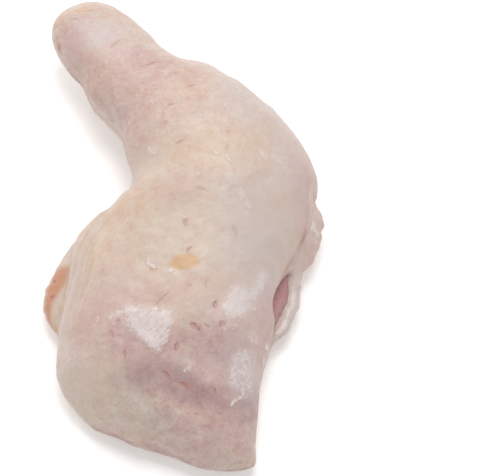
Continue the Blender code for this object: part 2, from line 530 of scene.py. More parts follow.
@dataclass(frozen=True)
class Patch:
    """A patch of one tone with corners, seen from above: they are in plan, with a soft edge and an amount."""

    tone: Tone
    corners: tuple[tuple[float, float], ...]
    soft: float = 1.2
    amount: float = 1.0

    def spread(self, xyz: np.ndarray) -> np.ndarray:
        """Amount of the patch: amount x a smooth step of the distance in from the outline.

        A place is inside where a line from it toward +X crosses the outline an odd number of times.

        Args:
            xyz: places, with x, y, z last.

        Returns:
            The amount at each place.
        """
        x, y = xyz[..., 0], xyz[..., 1]
        least = np.full(x.shape, np.inf)
        inside = np.zeros(x.shape, bool)
        for (x0, y0), (x1, y1) in zip(self.corners, self.corners[1:] + self.corners[:1]):
            dx, dy = x1 - x0, y1 - y0
            share = np.clip(((x - x0) * dx + (y - y0) * dy) / (dx**2 + dy**2), 0, 1)
            least = np.minimum(least, np.hypot(x - x0 - share * dx, y - y0 - share * dy))
            if dy:
                inside ^= ((y0 > y) != (y1 > y)) & (x < x0 + (y - y0) * dx / dy)
        return self.amount * step(np.where(inside, least, -least), -self.soft, self.soft)


@dataclass(frozen=True)
class Line:
    """A ridge or furrow on the upper side: its points in plan, its height, its half width and its tone."""

    points: tuple[tuple[float, float], ...]
    height: float
    width: float
    tone: Tone | None = None
    amount: float = 0.0
    steps: int = 90
    taper: float = 0.22

    def _path(self) -> np.ndarray:
        """Points of the smoothed line, at even shares of its length."""
        points = np.array(self.points)
        knots = path_lengths(points)
        return smooth_rows(knots, points, np.linspace(0, knots[-1], self.steps))

    def strength(self, xyz: np.ndarray, widen: float = 1.0) -> np.ndarray:
        """Bell of the least distance in plan to the smoothed line, fading toward the line's two ends."""
        share = np.linspace(0, 1, self.steps)
        ends = step(share, 0, self.taper) * step(1 - share, 0, self.taper)
        least = np.full(xyz.shape[:-1], np.inf)
        fade = np.zeros(xyz.shape[:-1])
        for (x, y), end in zip(self._path(), ends):
            away = np.hypot(xyz[..., 0] - x, xyz[..., 1] - y)
            fade = np.where(away < least, end, fade)
            least = np.minimum(away, least)
        return bell(least, self.width * widen) * fade

    def frame(self, xyz: np.ndarray) -> tuple[np.ndarray, np.ndarray]:
        """Length along the smoothed line to each place, and distance from the line, above 0 on its left."""
        path = self._path()
        heading = np.gradient(path, axis=0)
        heading /= np.linalg.norm(heading, axis=1, keepdims=True)
        least = np.full(xyz.shape[:-1], np.inf)
        along, across = np.zeros(xyz.shape[:-1]), np.zeros(xyz.shape[:-1])
        for (x, y), (ahead_x, ahead_y), length in zip(path, heading, path_lengths(path)):
            dx, dy = xyz[..., 0] - x, xyz[..., 1] - y
            away = np.hypot(dx, dy)
            nearer = away < least
            along = np.where(nearer, length + dx * ahead_x + dy * ahead_y, along)
            across = np.where(nearer, ahead_x * dy - ahead_y * dx, across)
            least = np.where(nearer, away, least)
        return along, across


# The pale mauve along the main fold's ridge is a painted highlight of its edge.
MAIN_FOLD = Line(((-19.2, 8.3), (-25.5, 2.2), (-31.9, -3.5), (-35.6, -9.0), (-38.2, -14.1), (-40.1, -21.1),
                  (-41.5, -26.9), (-43.9, -32.1), (-45.6, -37.8), (-46.4, -44.5), (-46.8, -54.0)), 0.2, 1.3,
                 Tone.LILAC_AND_SHEEN, 0.35)
# Ridges and furrows. The icy tone on ridges is a painted highlight, and the amber in the furrows near the crook is
# partly tan skin and partly painted shade.
LINES = (
    MAIN_FOLD,
    Line(((-20.4, 8.4), (-25.8, 5.0), (-30.9, 1.5), (-35.1, -2.1), (-37.7, -6.0), (-40.0, -10.3), (-42.9, -14.2)),
         0.3, 0.8),
    Line(((-33.4, -3.5), (-36.1, -6.3), (-38.3, -9.0), (-40.4, -12.4), (-41.4, -17.2), (-41.6, -22.5),
          (-42.5, -27.4)), -0.25, 1.0, Tone.AMBER, 0.36),
    Line(((-30.4, -6.9), (-33.6, -11.8), (-36.5, -17.5), (-38.8, -24.8), (-40.9, -32.4)), -0.18, 0.9,
         Tone.FAT, 0.9),
    Line(((-22.6, 0.3), (-24.2, -2.5), (-26.2, -5.3)), -0.2, 0.9, Tone.AMBER, 0.3),
    Line(((-19.2, 8.3), (-20.6, 2.9), (-22.3, -2.1), (-25.1, -6.0), (-27.5, -9.1)), 0.2, 0.9),
    Line(((-44.0, -20.0), (-45.9, -22.7), (-48.0, -27.2), (-48.8, -31.1)), 0.25, 0.7),
    Line(((-42.2, -20.3), (-43.8, -26.6), (-45.2, -31.4), (-46.8, -35.6)), -0.2, 0.8, Tone.AMBER, 0.3),
    Line(((-45.6, 86.0), (-40.1, 85.7), (-34.7, 86.6)), -0.2, 0.5, Tone.AMBER, 0.85),
    Line(((-20.2, 51.7), (-17.4, 52.9), (-14.6, 53.9)), -0.12, 0.5, Tone.BLUSH, 0.7),
    Line(((-29.6, 46.7), (-28.2, 41.3), (-27.3, 37.9), (-26.4, 34.0)), 0.15, 0.8, Tone.FROST_AND_HIGHLIGHT, 0.42),
    Line(((17.9, -76.0), (19.4, -73.6), (22.4, -71.6)), 0.15, 0.5, Tone.FROST_AND_HIGHLIGHT, 1.0),
    Line(((-10.8, -35.8), (-7.0, -37.8), (-3.6, -33.4)), -0.12, 0.5),
    Line(((29.7, -15.6), (25.1, -21.0), (21.3, -24.5)), -0.1, 0.6, Tone.BLUSH, 0.35),
    Line(((8.5, -1.2), (11.6, -3.7), (14.5, -7.2)), -0.08, 0.5, Tone.BLUSH, 0.3),
)


NUDGES = (
    Swell(-15.0, 79.0, 8.0, 2.0),
    Swell(-10.0, 71.0, 4.0, 0.6),
    Swell(-1.0, 68.5, 4.5, -1.2),
    Swell(9.0, 63.5, 5.0, 0.9),
    Swell(21.0, 56.0, 6.0, 0.3),
    Swell(-19.0, 88.0, 5.0, 0.7),
    Swell(-43.0, 92.0, 5.0, -0.4),
    Swell(-56.0, 80.0, 7.0, 0.3),
    Swell(-51.0, 74.0, 4.0, 0.6),
    Swell(-43.0, 61.0, 5.0, -1.4),
    Swell(-36.0, 51.0, 4.0, 0.7),
    Swell(-27.0, 38.0, 6.0, -1.5),
    Swell(-21.0, 12.5, 3.0, -1.2),
    Swell(-28.0, 4.5, 4.5, -1.4),
    Swell(-43.0, -6.0, 4.0, 0.5),
    Swell(-53.0, -17.0, 7.0, -1.1),
    Swell(-51.0, -45.0, 8.0, -0.8),
    Swell(-43.0, -72.0, 8.0, -0.6),
    Swell(50.0, 27.0, 8.0, 0.6),
    Swell(52.0, 18.0, 3.5, 0.7),
    Swell(53.0, 11.5, 3.2, -2.0),
    Swell(53.5, 9.0, 3.6, -2.6),
    Swell(54.5, 1.0, 5.0, -0.6),
    Swell(53.0, -6.0, 3.5, -0.6),
    Swell(50.0, -11.0, 4.0, 0.5),
    Swell(39.0, -40.0, 5.0, 1.4),
    Swell(29.0, -70.0, 5.0, 0.5),
    Swell(27.0, -95.0, 4.0, -0.6),
    Swell(-18.0, -84.0, 8.0, 1.5),
    Swell(-30.0, -80.0, 5.0, 1.0),
    Swell(-1.0, -90.0, 5.0, -0.6),
)

# Tones in plan. The pale mauve zones are partly a painted sheen. The icy patches are partly painted highlights, and
# the smallest icy spots are painted glints. The amber bands beside the crook's folds are partly painted shade.
ZONES = (
    Zone(Tone.BLUSH, -33.6, 57.2, 22.0, 13.0, -45, 0.8),
    Zone(Tone.BLUSH, -20.0, 51.0, 20.0, 13.0, -35, 0.8),
    Zone(Tone.BLUSH, -6.0, 59.0, 20.0, 8.0, -30, 0.45),
    Zone(Tone.BLUSH, -46.0, 74.0, 7.0, 11.0, 0, 0.45),
    Zone(Tone.BLUSH, 0.0, 36.0, 22.0, 7.0, 12, 0.5),
    Zone(Tone.BLUSH, -18.0, 30.0, 9.0, 18.0, 20, 0.5),
    Zone(Tone.BLUSH, 48.0, 6.0, 5.0, 20.0, 10, 0.55),
    Zone(Tone.BLUSH, 33.0, -26.0, 6.0, 14.0, -8, 0.25),
    Zone(Tone.BLUSH, -4.0, 6.0, 20.0, 9.0, 20, 0.45),
    Zone(Tone.BLUSH, -24.0, -18.0, 20.0, 18.0, 0, 0.3),
    Zone(Tone.BLUSH, -38.0, -48.0, 9.0, 14.0, 10, 0.6),
    Zone(Tone.BLUSH, -25.0, -40.0, 20.0, 14.0, 0, 0.65),
    Zone(Tone.BLUSH, 4.0, -36.0, 16.0, 10.0, 0, 0.35),
    Zone(Tone.BLUSH, -14.0, -53.0, 26.0, 9.0, 0, 0.8),
    Zone(Tone.BLUSH, 9.0, -75.0, 17.0, 10.0, -15, 0.85),
    Zone(Tone.BLUSH, 14.0, -50.0, 16.0, 11.0, 0, 0.6),
    Zone(Tone.BLUSH, -27.0, -84.0, 14.0, 5.0, -30, 0.5),
    Zone(Tone.BLUSH, 0.0, -90.0, 16.0, 5.0, -15, 0.5),
    Zone(Tone.VIOLET, -43.0, 73.5, 6.5, 7.5, 20, 0.2),
    Zone(Tone.VIOLET, -39.0, 82.5, 10.0, 3.0, 8, 0.2),
    Zone(Tone.VIOLET, -1.5, -67.5, 17.0, 9.0, -28, 1.0),
    Zone(Tone.VIOLET, 10.0, -72.5, 16.0, 9.0, -25, 0.65),
    Zone(Tone.VIOLET, -12.0, -65.0, 15.0, 10.0, -12, 0.8),
    Zone(Tone.VIOLET, -18.0, -54.0, 20.0, 9.0, 0, 0.56),
    Zone(Tone.VIOLET, 6.0, -52.0, 14.0, 10.0, 0, 0.56),
    Zone(Tone.VIOLET, -2.0, -81.0, 15.0, 8.0, -20, 0.33),
    Zone(Tone.VIOLET, -10.0, 60.0, 16.0, 7.0, -30, 0.25),
    Zone(Tone.VIOLET, 14.0, -54.0, 14.0, 10.0, 40, 0.55),
    Zone(Tone.VIOLET, 24.5, -71.0, 8.0, 14.0, 0, 0.8),
    Zone(Tone.ROSE, -44.0, 73.0, 9.0, 11.0, 0, 0.9),
    Zone(Tone.ROSE, -16.0, 62.0, 18.0, 8.0, -35, 0.8),
    Zone(Tone.ROSE, -24.0, 38.0, 12.0, 10.0, 0, 0.7),
    Zone(Tone.ROSE, 47.0, 9.0, 20.0, 6.0, 95, 0.7),
    Zone(Tone.ROSE, 31.0, -44.0, 26.0, 6.0, 86, 1.0),
    Zone(Tone.ROSE, 17.0, -63.0, 24.0, 13.0, 100, 0.9),
    Zone(Tone.ROSE, 12.0, -86.0, 20.0, 9.0, -10, 0.8),
    Zone(Tone.ROSE, -36.0, -38.0, 14.0, 26.0, 0, 0.5),
    Zone(Tone.GREY, -34.0, -34.0, 13.0, 20.0, 0, 0.3),
    Zone(Tone.SALMON, -55.5, 76.0, 3.5, 8.0, 0, 0.5),
    Zone(Tone.GREY, -6.0, -12.0, 18.0, 17.0, 0, 0.45),
    Zone(Tone.GREY, 28.0, 38.0, 24.0, 5.0, -52, 0.4),
    Zone(Tone.FAT, -34.0, -20.0, 9.0, 20.0, -20, 0.95),
    Zone(Tone.FAT, -19.0, 4.0, 7.0, 12.0, -35, 0.6),
    Zone(Tone.FAT, 8.0, 20.0, 22.0, 14.0, -10, 0.8),
    Zone(Tone.FAT, 22.0, -6.0, 16.0, 16.0, 0, 0.6),
    Zone(Tone.FAT, -4.0, -10.0, 26.0, 22.0, 0, 0.9),
    Zone(Tone.FAT, 21.0, -24.0, 9.0, 7.0, 0, 0.5),
    Zone(Tone.LILAC_AND_SHEEN, 26.0, -12.0, 14.0, 22.0, 0, 0.7),
    Zone(Tone.FAT, -37.0, -68.0, 14.0, 14.0, 0, 1.0),
    Zone(Tone.FAT, 5.0, 62.0, 12.0, 6.0, -35, 0.3),
    Zone(Tone.BLUSH, 32.0, -50.0, 26.0, 4.0, 85, 0.6),
    Zone(Tone.FAT, -31.0, 75.0, 9.0, 7.0, 0, 0.4),
    Zone(Tone.LILAC_AND_SHEEN, -33.0, 74.0, 9.0, 7.0, 0, 0.8),
    Zone(Tone.LILAC_AND_SHEEN, 22.0, 44.0, 16.0, 7.0, -48, 0.5),
    Zone(Tone.LILAC_AND_SHEEN, 22.5, -62.0, 13.0, 6.5, 88, 0.6),
    Zone(Tone.GREY, -43.0, -24.0, 6.0, 22.0, 8, 0.45),
    Zone(Tone.GREY, -20.0, -71.0, 16.0, 9.0, -12, 0.5),
    Zone(Tone.GREY, -9.0, -78.0, 14.0, 8.0, -15, 0.6),
    Zone(Tone.GREY, 12.0, -88.0, 18.0, 7.0, -10, 0.15),
    Zone(Tone.GREY, -45.0, -50.0, 4.0, 20.0, 0, 0.15),
    Zone(Tone.LILAC_AND_SHEEN, -40.0, -64.0, 10.0, 12.0, 0, 0.3),
    Zone(Tone.AMBER, 0.4, -22.8, 6.0, 3.4, 8, 1.0, 2.0),
    Zone(Tone.AMBER, -27.0, 0.5, 11.0, 4.0, 42, 0.45),
    Zone(Tone.AMBER, -16.6, 1.2, 9.0, 2.6, 78, 0.45),
    Zone(Tone.AMBER, -31.0, -14.0, 14.0, 5.0, 62, 0.35),
    Zone(Tone.AMBER, -37.0, -12.0, 9.0, 3.0, 66, 0.4),
    Zone(Tone.AMBER, 11.0, 26.5, 7.0, 2.2, -25, 0.4),
    Zone(Tone.AMBER, 0.0, 19.0, 11.0, 5.0, 15, 0.35),
    Zone(Tone.AMBER, -40.0, 87.4, 6.0, 1.2, 10, 0.5),
    Zone(Tone.AMBER, -51.5, 84.0, 5.0, 3.5, 30, 0.4),
    Zone(Tone.RED, -50.2, 73.4, 1.3, 3.6, 12, 0.8),
    Zone(Tone.RED, 1.0, -69.5, 5.5, 2.6, -30, 0.5),
    Patch(Tone.FROST_AND_HIGHLIGHT, ((-23.0, -39.4), (-12.4, -40.0), (-3.0, -40.2), (-3.6, -45.9), (-5.6, -52.0), (-9.0, -57.4),
                       (-13.2, -55.0), (-18.0, -51.2), (-22.0, -46.2)), 3.2, 0.79),
    Zone(Tone.FROST_AND_HIGHLIGHT, -25.6, -42.8, 5.0, 1.2, 14, 0.55, 2.0),
    Patch(Tone.FROST_AND_HIGHLIGHT, ((18.4, -30.8), (25.2, -30.6), (25.9, -39.0), (23.3, -41.2), (18.4, -44.2), (16.0, -42.6),
                       (15.0, -39.8), (16.4, -35.6)), 2.8, 0.82),
    Patch(Tone.FROST_AND_HIGHLIGHT, ((24.0, -34.1), (27.6, -25.8), (30.4, -21.8), (32.6, -23.6), (31.4, -29.8), (27.4, -36.0)),
          2.6, 0.72),
    Zone(Tone.FROST_AND_HIGHLIGHT, 26.4, -38.0, 3.0, 0.8, 8, 0.6, 2.0),
    Patch(Tone.FROST_AND_HIGHLIGHT, ((18.2, -57.3), (21.8, -54.0), (27.4, -52.9), (27.8, -60.4), (27.0, -67.5), (23.0, -72.6),
                       (18.2, -70.2), (16.5, -67.3), (17.4, -61.9)), 3.4, 0.62),
    Zone(Tone.FROST_AND_HIGHLIGHT, 18.0, -47.0, 13.0, 20.0, -10, 0.32),
    Zone(Tone.FROST_AND_HIGHLIGHT, -29.0, -45.0, 10.0, 6.0, 20, 0.33),
    Zone(Tone.FROST_AND_HIGHLIGHT, -26.0, -79.0, 12.0, 6.0, -28, 0.3),
    Zone(Tone.FROST_AND_HIGHLIGHT, -43.0, 77.0, 6.0, 6.0, 0, 0.3),
    Zone(Tone.FROST_AND_HIGHLIGHT, 27.0, -49.0, 3.6, 3.0, 0, 0.5, 2.0),
    Zone(Tone.FROST_AND_HIGHLIGHT, 1.6, -63.4, 2.6, 1.6, 25, 0.4, 2.0),
    Zone(Tone.FROST_AND_HIGHLIGHT, 36.0, 19.0, 3.4, 1.5, -30, 0.6, 2.0),
    Zone(Tone.FROST_AND_HIGHLIGHT, 31.0, 20.0, 3.4, 1.6, -50, 0.5, 2.0),
    Zone(Tone.FROST_AND_HIGHLIGHT, 31.9, 25.9, 2.0, 1.4, -50, 0.5, 2.0),
    Zone(Tone.FROST_AND_HIGHLIGHT, -12.3, 23.3, 2.6, 3.0, 60, 0.55, 2.0),
    Zone(Tone.FROST_AND_HIGHLIGHT, 22.0, 4.0, 3.6, 2.2, -50, 0.5, 2.0),
    Zone(Tone.FROST_AND_HIGHLIGHT, 24.9, 0.2, 2.6, 1.6, -60, 0.55, 2.0),
    Zone(Tone.FROST_AND_HIGHLIGHT, 12.4, 19.6, 1.8, 1.0, -40, 0.7, 2.0),
    Zone(Tone.FROST_AND_HIGHLIGHT, 17.0, 17.4, 2.6, 0.9, -50, 0.6, 2.0),
    Zone(Tone.FROST_AND_HIGHLIGHT, 5.5, 11.8, 1.2, 2.0, 0, 0.5, 2.0),
    Zone(Tone.FROST_AND_HIGHLIGHT, -13.3, -22.9, 0.9, 1.6, 10, 1.0, 2.0),
    Zone(Tone.FROST_AND_HIGHLIGHT, -12.0, -24.2, 0.9, 0.8, 0, 0.9, 2.0),
    Zone(Tone.FROST_AND_HIGHLIGHT, -11.2, -24.7, 1.1, 0.8, 0, 0.9, 2.0),
    Zone(Tone.FROST_AND_HIGHLIGHT, -4.4, -26.2, 1.3, 1.0, 0, 0.75, 2.0),
    Zone(Tone.FROST_AND_HIGHLIGHT, 32.0, -49.5, 0.7, 1.4, -15, 0.9, 2.0),
    Zone(Tone.FROST_AND_HIGHLIGHT, 30.9, -55.0, 0.7, 1.3, -10, 0.8, 2.0),
    Zone(Tone.FROST_AND_HIGHLIGHT, 49.2, 0.2, 2.0, 2.0, 0, 0.95, 2.0),
    Zone(Tone.FROST_AND_HIGHLIGHT, 51.8, -1.4, 1.4, 2.4, 20, 0.7, 2.0),
    Zone(Tone.FROST_AND_HIGHLIGHT, 50.9, 6.0, 1.2, 2.2, 0, 0.6, 2.0),
    Zone(Tone.WET, -43.0, 73.0, 7.0, 9.0, 0, 0.6),
    Zone(Tone.WET, 24.0, -58.0, 8.0, 20.0, 0, 0.7),
)


class Shade(Enum):
    """What a small mark on the skin looks like, as the number that the skin's material reads."""

    RED = 0.0
    TAN = 1.0
    PALE = 2.0


@dataclass(frozen=True)
class Mark:
    """A pore or scratch: its middle in plan, length, width, turn in degrees, shade and depth."""

    x: float
    y: float
    length: float
    width: float
    turn: float
    shade: Shade = Shade.RED
    depth: float = 0.3


MARKS = (
    Mark(1.0, -7.3, 3.4, 1.6, 75, Shade.TAN, 0.35),
    Mark(2.2, -17.9, 2.3, 0.9, 45),
    Mark(-11.4, -25.8, 2.8, 1.8, 5, Shade.TAN, 0.2),
    Mark(12.4, -38.6, 3.1, 1.5, 72),
    Mark(4.5, -47.4, 3.9, 1.7, -38, Shade.RED, 0.45),
    Mark(14.8, -46.0, 2.6, 1.9, 55),
    Mark(-2.3, -54.7, 3.7, 1.6, 70),
    Mark(-21.7, -57.7, 3.2, 0.9, 88),
    Mark(-26.9, -50.1, 2.6, 1.4, -60, Shade.RED, 0.15),
    Mark(-24.6, -45.6, 2.2, 1.6, -30, Shade.RED, 0.1),
    Mark(-6.2, -65.1, 4.1, 1.5, -42, Shade.RED, 0.4),
    Mark(0.4, -68.8, 3.5, 1.3, -36, Shade.RED, 0.4),
    Mark(-18.5, -78.7, 2.0, 1.9, 0, Shade.PALE, -0.35),
    Mark(21.8, -94.2, 1.5, 1.0, 20, Shade.RED, 0.15),
    Mark(19.6, -9.8, 3.6, 1.0, -62, Shade.TAN, 0.15),
    Mark(-7.8, -36.9, 6.4, 0.8, 46, Shade.TAN, 0.3),
    Mark(21.6, -71.8, 2.6, 1.9, 20, Shade.TAN, 0.2),
    Mark(24.2, -58.3, 2.4, 1.8, 60, Shade.TAN, 0.2),
    Mark(8.7, -31.0, 3.0, 0.8, 80, Shade.TAN, 0.15),
    Mark(2.5, -31.9, 2.2, 0.7, 3, Shade.RED, 0.1),
    Mark(10.5, -52.9, 1.6, 1.0, 10, Shade.RED, 0.1),
    Mark(9.0, -47.0, 2.4, 0.9, -35, Shade.RED, 0.1),
    Mark(11.9, -70.2, 3.2, 0.9, -58, Shade.RED, 0.2),
    Mark(10.7, -80.9, 2.0, 1.1, -40, Shade.TAN, 0.15),
    Mark(5.4, -79.4, 1.8, 0.9, -20, Shade.RED, 0.1),
    Mark(25.3, -78.6, 2.8, 1.0, 55, Shade.RED, 0.15),
    Mark(-22.5, -81.5, 2.0, 0.8, 85, Shade.RED, 0.1),
    Mark(-30.8, -25.1, 2.4, 0.9, 78, Shade.TAN, 0.15),
    Mark(-27.7, 70.0, 4.4, 1.1, 48, Shade.TAN, 0.3),
    Mark(-13.1, 60.1, 4.6, 0.8, 22, Shade.RED, 0.25),
    Mark(-5.3, 39.8, 2.4, 0.8, 25, Shade.RED, 0.2),
    Mark(-7.1, 32.4, 2.0, 1.3, 20, Shade.TAN, 0.2),
    Mark(-1.4, 24.2, 3.2, 1.0, 20, Shade.TAN, 0.2),
    Mark(2.5, 48.2, 3.4, 0.7, 28, Shade.RED, 0.1),
    Mark(16.6, 21.6, 1.9, 1.2, 60, Shade.TAN, 0.15),
    Mark(17.0, 28.2, 1.6, 0.8, 30, Shade.TAN, 0.1),
    Mark(6.9, 5.1, 3.6, 0.8, -18, Shade.TAN, 0.1),
    Mark(-20.1, -8.1, 2.2, 1.1, 80, Shade.TAN, 0.15),
    Mark(-52.6, -20.5, 1.2, 1.3, 30, Shade.RED, 0.45),
    Mark(-52.4, -27.0, 1.3, 1.5, 80, Shade.RED, 0.5),
)


SLIT_ROWS = (
    (-48.0, 0.9, 0.9),
    (-43.0, 1.05, 1.2),
    (-40.0, 0.95, 1.55),
    (-36.4, 0.86, 2.1),
    (-32.3, 0.78, 2.3),
    (-29.4, 0.76, 2.25),
    (-26.0, 0.8, 2.05),
    (-23.3, 0.88, 1.8),
    (-21.2, 0.96, 1.6),
    (-18.3, 1.15, 1.4),
    (-11.0, 1.46, 1.46),
)
SLIT_ENDS = (-43.5, -20.0)
LOBE_ROWS = ((-19.0, 1.3), (-15.1, 1.34), (-9.6, 1.6), (-5.3, 2.0), (1.1, 2.2), (6.2, 2.5), (13.6, 3.0))
TAG_ROWS = ((-44.0, 0.45), (-36.0, 0.75), (-30.0, 0.98), (-22.0, 1.3), (-12.0, 1.4), (-8.0, 1.1), (-4.0, 0.5))


def levels_at(rows: tuple[tuple[float, ...], ...], edge_y: np.ndarray) -> np.ndarray:
    """Rows of fold levels read at the y of each place's edge."""
    table = np.array(rows)
    values = smooth_rows(table[:, 0], table[:, 1:], edge_y.ravel())
    return values.reshape(*edge_y.shape, -1)


@dataclass(frozen=True)
class Windows:
    """Where the skin is cut away. Each field is in millimetres: above 0 inside the window, below 0 outside it.

    The slit lies on the ledge of the front fold, between an outer and an inner level of the fold. The belly of
    the thigh is open on the under side, up to the hem. The hock is open at its end, where its knuckles show.
    """

    level_mm: float = 6.5
    rear_margin: float = 14.0
    front_margin: float = 12.0
    knee_margin: float = 112.0
    hem_margin: float = 2.0
    ragged: float = 1.6
    ragged_length: float = 13.0
    hock_wide: float = 9.0
    hock_high: float = 7.0
    hock_drop: float = 4.5

    def slit(self, grid: LoftGrid) -> np.ndarray:
        """The lesser of the distances in from the slit's outer and inner levels."""
        rows = levels_at(SLIT_ROWS, grid.front_y)
        inside = np.minimum(grid.lip - rows[..., 0], rows[..., 1] - grid.lip) * self.level_mm
        ends = np.minimum(grid.front_y - SLIT_ENDS[0], SLIT_ENDS[1] - grid.front_y)
        inside = np.minimum(inside, ends)
        return np.where(grid.side > 0.6 * grid.reach, np.maximum(inside, -20.0), -20.0)

    def slit_film(self, grid: LoftGrid) -> np.ndarray:
        """Share of pale film in the slit: along its outer edge, in its lower half."""
        outer = levels_at(SLIT_ROWS, grid.front_y)[..., 0]
        beside = bell((grid.lip - outer) * self.level_mm - 0.4, 1.3)
        return beside * step(grid.front_y, -29.0, -35.0) * step(self.slit(grid), -0.4, 0.4)

    def slit_wall(self, grid: LoftGrid) -> np.ndarray:
        """Share of the skin that turns down into the slit along its inner edge, as dark as the meat."""
        outer = levels_at(SLIT_ROWS, grid.front_y)[..., 0]
        return step(self.slit(grid), -1.0, -0.2) * step(grid.lip - outer, 0.45, 0.9)

    def belly(self, grid: LoftGrid) -> np.ndarray:
        """Least of the distances in from the two edges, the knee and the hem, with a ragged outline."""
        rear = grid.side + grid.reach - self.rear_margin
        front = grid.reach - grid.side - self.front_margin
        knee = 0.8 * (grid.from_tip - self.knee_margin)
        hem = 1.6 * (grid.to_hem - self.hem_margin)
        inside = -np.log(np.exp(-rear / 3) + np.exp(-front / 3) + np.exp(-knee / 3) + np.exp(-hem / 3)) * 3
        inside = inside + self.ragged * ripple(grid.xyz, self.ragged_length, 41)
        return np.where(grid.lower, inside, -20.0)

    def hock(self, grid: LoftGrid) -> np.ndarray:
        """Oval on the end of the knob, a little below its middle."""
        across = grid.side / self.hock_wide
        upward = (grid.height - grid.edge + self.hock_drop) / self.hock_high
        inside = self.hock_high * (1 - np.hypot(across, upward)) + 0.4 * ripple(grid.xyz, 5.0, 42)
        return np.where(grid.from_tip < 14, inside, -20.0)

    def skin_sink(self, grid: LoftGrid) -> np.ndarray:
        """How far the skin sinks: a smooth step of 3.5 mm over the outline of each window."""
        deep = 3.5 * step(self.belly(grid), -1.2, 1.4)
        deep = np.maximum(deep, 2.6 * step(self.slit(grid), -0.7, 1.1))
        return np.maximum(deep, 3.0 * step(self.hock(grid), -0.8, 1.0))


@dataclass(frozen=True)
class Relief:
    """Heights of the skin's folds, lumps and grain, all outward in millimetres."""

    lump: float = 0.13
    lump_length: float = 19.0
    dimple: float = 0.045
    dimple_length: float = 5.5
    grain: float = 0.03
    grain_length: float = 2.3
    streak: float = 0.022
    streak_turn: float = 18.0
    streak_draw: float = 3.0
    streak_length: float = 2.6
    knob_wrinkle: float = 0.12
    wrinkle_length: float = 2.7
    frost: float = 0.12
    hem_wave: float = 0.6
    pit_share: float = 0.16

    def streaks(self, xyz: np.ndarray, seed: int) -> np.ndarray:
        """Fine level wrinkles: a ripple of places drawn out three times along the wrinkles' own direction."""
        angle = np.radians(self.streak_turn)
        u = xyz[..., 0] * np.cos(angle) + xyz[..., 1] * np.sin(angle)
        v = xyz[..., 1] * np.cos(angle) - xyz[..., 0] * np.sin(angle)
        drawn = np.stack([u / self.streak_draw, v, xyz[..., 2]], -1)
        return ripple(drawn, self.streak_length, seed)

    def wrinkles(self, xyz: np.ndarray) -> np.ndarray:
        """Wrinkles across the knob, from -1 in a furrow to 1 on a ridge: a cosine of an uneven level."""
        knob = bell(np.hypot(xyz[..., 0] + 38, xyz[..., 1] - 82), 13.0)
        level = xyz[..., 1] - 0.12 * xyz[..., 0] + 1.1 * ripple(xyz, 11.0, 76)
        patchy = step(ripple(xyz, 7.0, 86), -1.0, 0.8)
        return knob * patchy * np.cos(2 * np.pi * level / self.wrinkle_length)


@dataclass
class Nodes:
    """Short calls that add nodes to a shader tree and link them."""

    tree: bpy.types.NodeTree

    def add(self, kind: str, inputs: dict | None = None, **settings) -> bpy.types.Node:
        """Adds a node.

        Args:
            kind: type name of the node, without ShaderNode.
            inputs: values or output sockets by the name or number of the input.
            settings: other properties of the node.

        Returns:
            The new node.
        """
        node = self.tree.nodes.new("ShaderNode" + kind)
        for name, value in settings.items():
            setattr(node, name, value)
        for key, value in (inputs or {}).items():
            if isinstance(value, bpy.types.NodeSocket):
                self.tree.links.new(value, node.inputs[key])
            else:
                node.inputs[key].default_value = value
        return node

    def maths(self, operation: str, first, second=0.0, clamp: bool = False) -> bpy.types.NodeSocket:
        """One sum of two values."""
        node = self.add("Math", {0: first, 1: second}, operation=operation, use_clamp=clamp)
        return node.outputs[0]

    def ramp(self, value, low: float, high: float, out_low=0.0, out_high=1.0) -> bpy.types.NodeSocket:
        """A smooth step of a value from one range to another."""
        limits = {"Value": value, "From Min": low, "From Max": high, "To Min": out_low, "To Max": out_high}
        return self.add("MapRange", limits, interpolation_type="SMOOTHSTEP").outputs["Result"]

    def blend(self, amount, first, second, blend_type: str = "MIX") -> bpy.types.NodeSocket:
        """A mix of two colours."""
        node = self.add("Mix", {"Factor": amount}, data_type="RGBA", blend_type=blend_type)
        for slot, colour in (("A", first), ("B", second)):
            socket = next(s for s in node.inputs if s.name == slot and s.type == "RGBA")
            if isinstance(colour, bpy.types.NodeSocket):
                self.tree.links.new(colour, socket)
            else:
                socket.default_value = (*colour, 1.0)
        return next(s for s in node.outputs if s.type == "RGBA")

    def noise(self, vector, scale: float, detail=3.0, roughness=0.5, distortion=0.0) -> bpy.types.NodeSocket:
        """An even noise from 0 to 1."""
        inputs = {"Vector": vector, "Scale": scale, "Detail": detail, "Roughness": roughness,
                  "Distortion": distortion}
        return self.add("TexNoise", inputs).outputs[0]

    def place(self) -> bpy.types.NodeSocket:
        """The place on the piece, in metres."""
        return self.add("TexCoord").outputs["Object"]

    def masks(self, name: str) -> list[bpy.types.NodeSocket]:
        """The three values of a colour attribute."""
        colour = self.add("Attribute", attribute_name=name, attribute_type="GEOMETRY").outputs["Color"]
        split = self.add("SeparateColor", {"Color": colour})
        return list(split.outputs)[:3]


def make_group(name: str, inputs: dict[str, tuple[str, object]], outputs: dict[str, str]):
    """Starts a shader node group.

    Args:
        name: name of the group.
        inputs: socket kind and value of each input by name.
        outputs: socket kind of each output by name.

    Returns:
        The group, its short calls, its input node and its output node.
    """
    tree = bpy.data.node_groups.new(name, "ShaderNodeTree")
    for socket_name, (kind, value) in inputs.items():
        socket = tree.interface.new_socket(socket_name, in_out="INPUT", socket_type=kind)
        if value is not None:
            socket.default_value = value
    for socket_name, kind in outputs.items():
        tree.interface.new_socket(socket_name, in_out="OUTPUT", socket_type=kind)
    nodes = Nodes(tree)
    return tree, nodes, nodes.tree.nodes.new("NodeGroupInput"), nodes.tree.nodes.new("NodeGroupOutput")


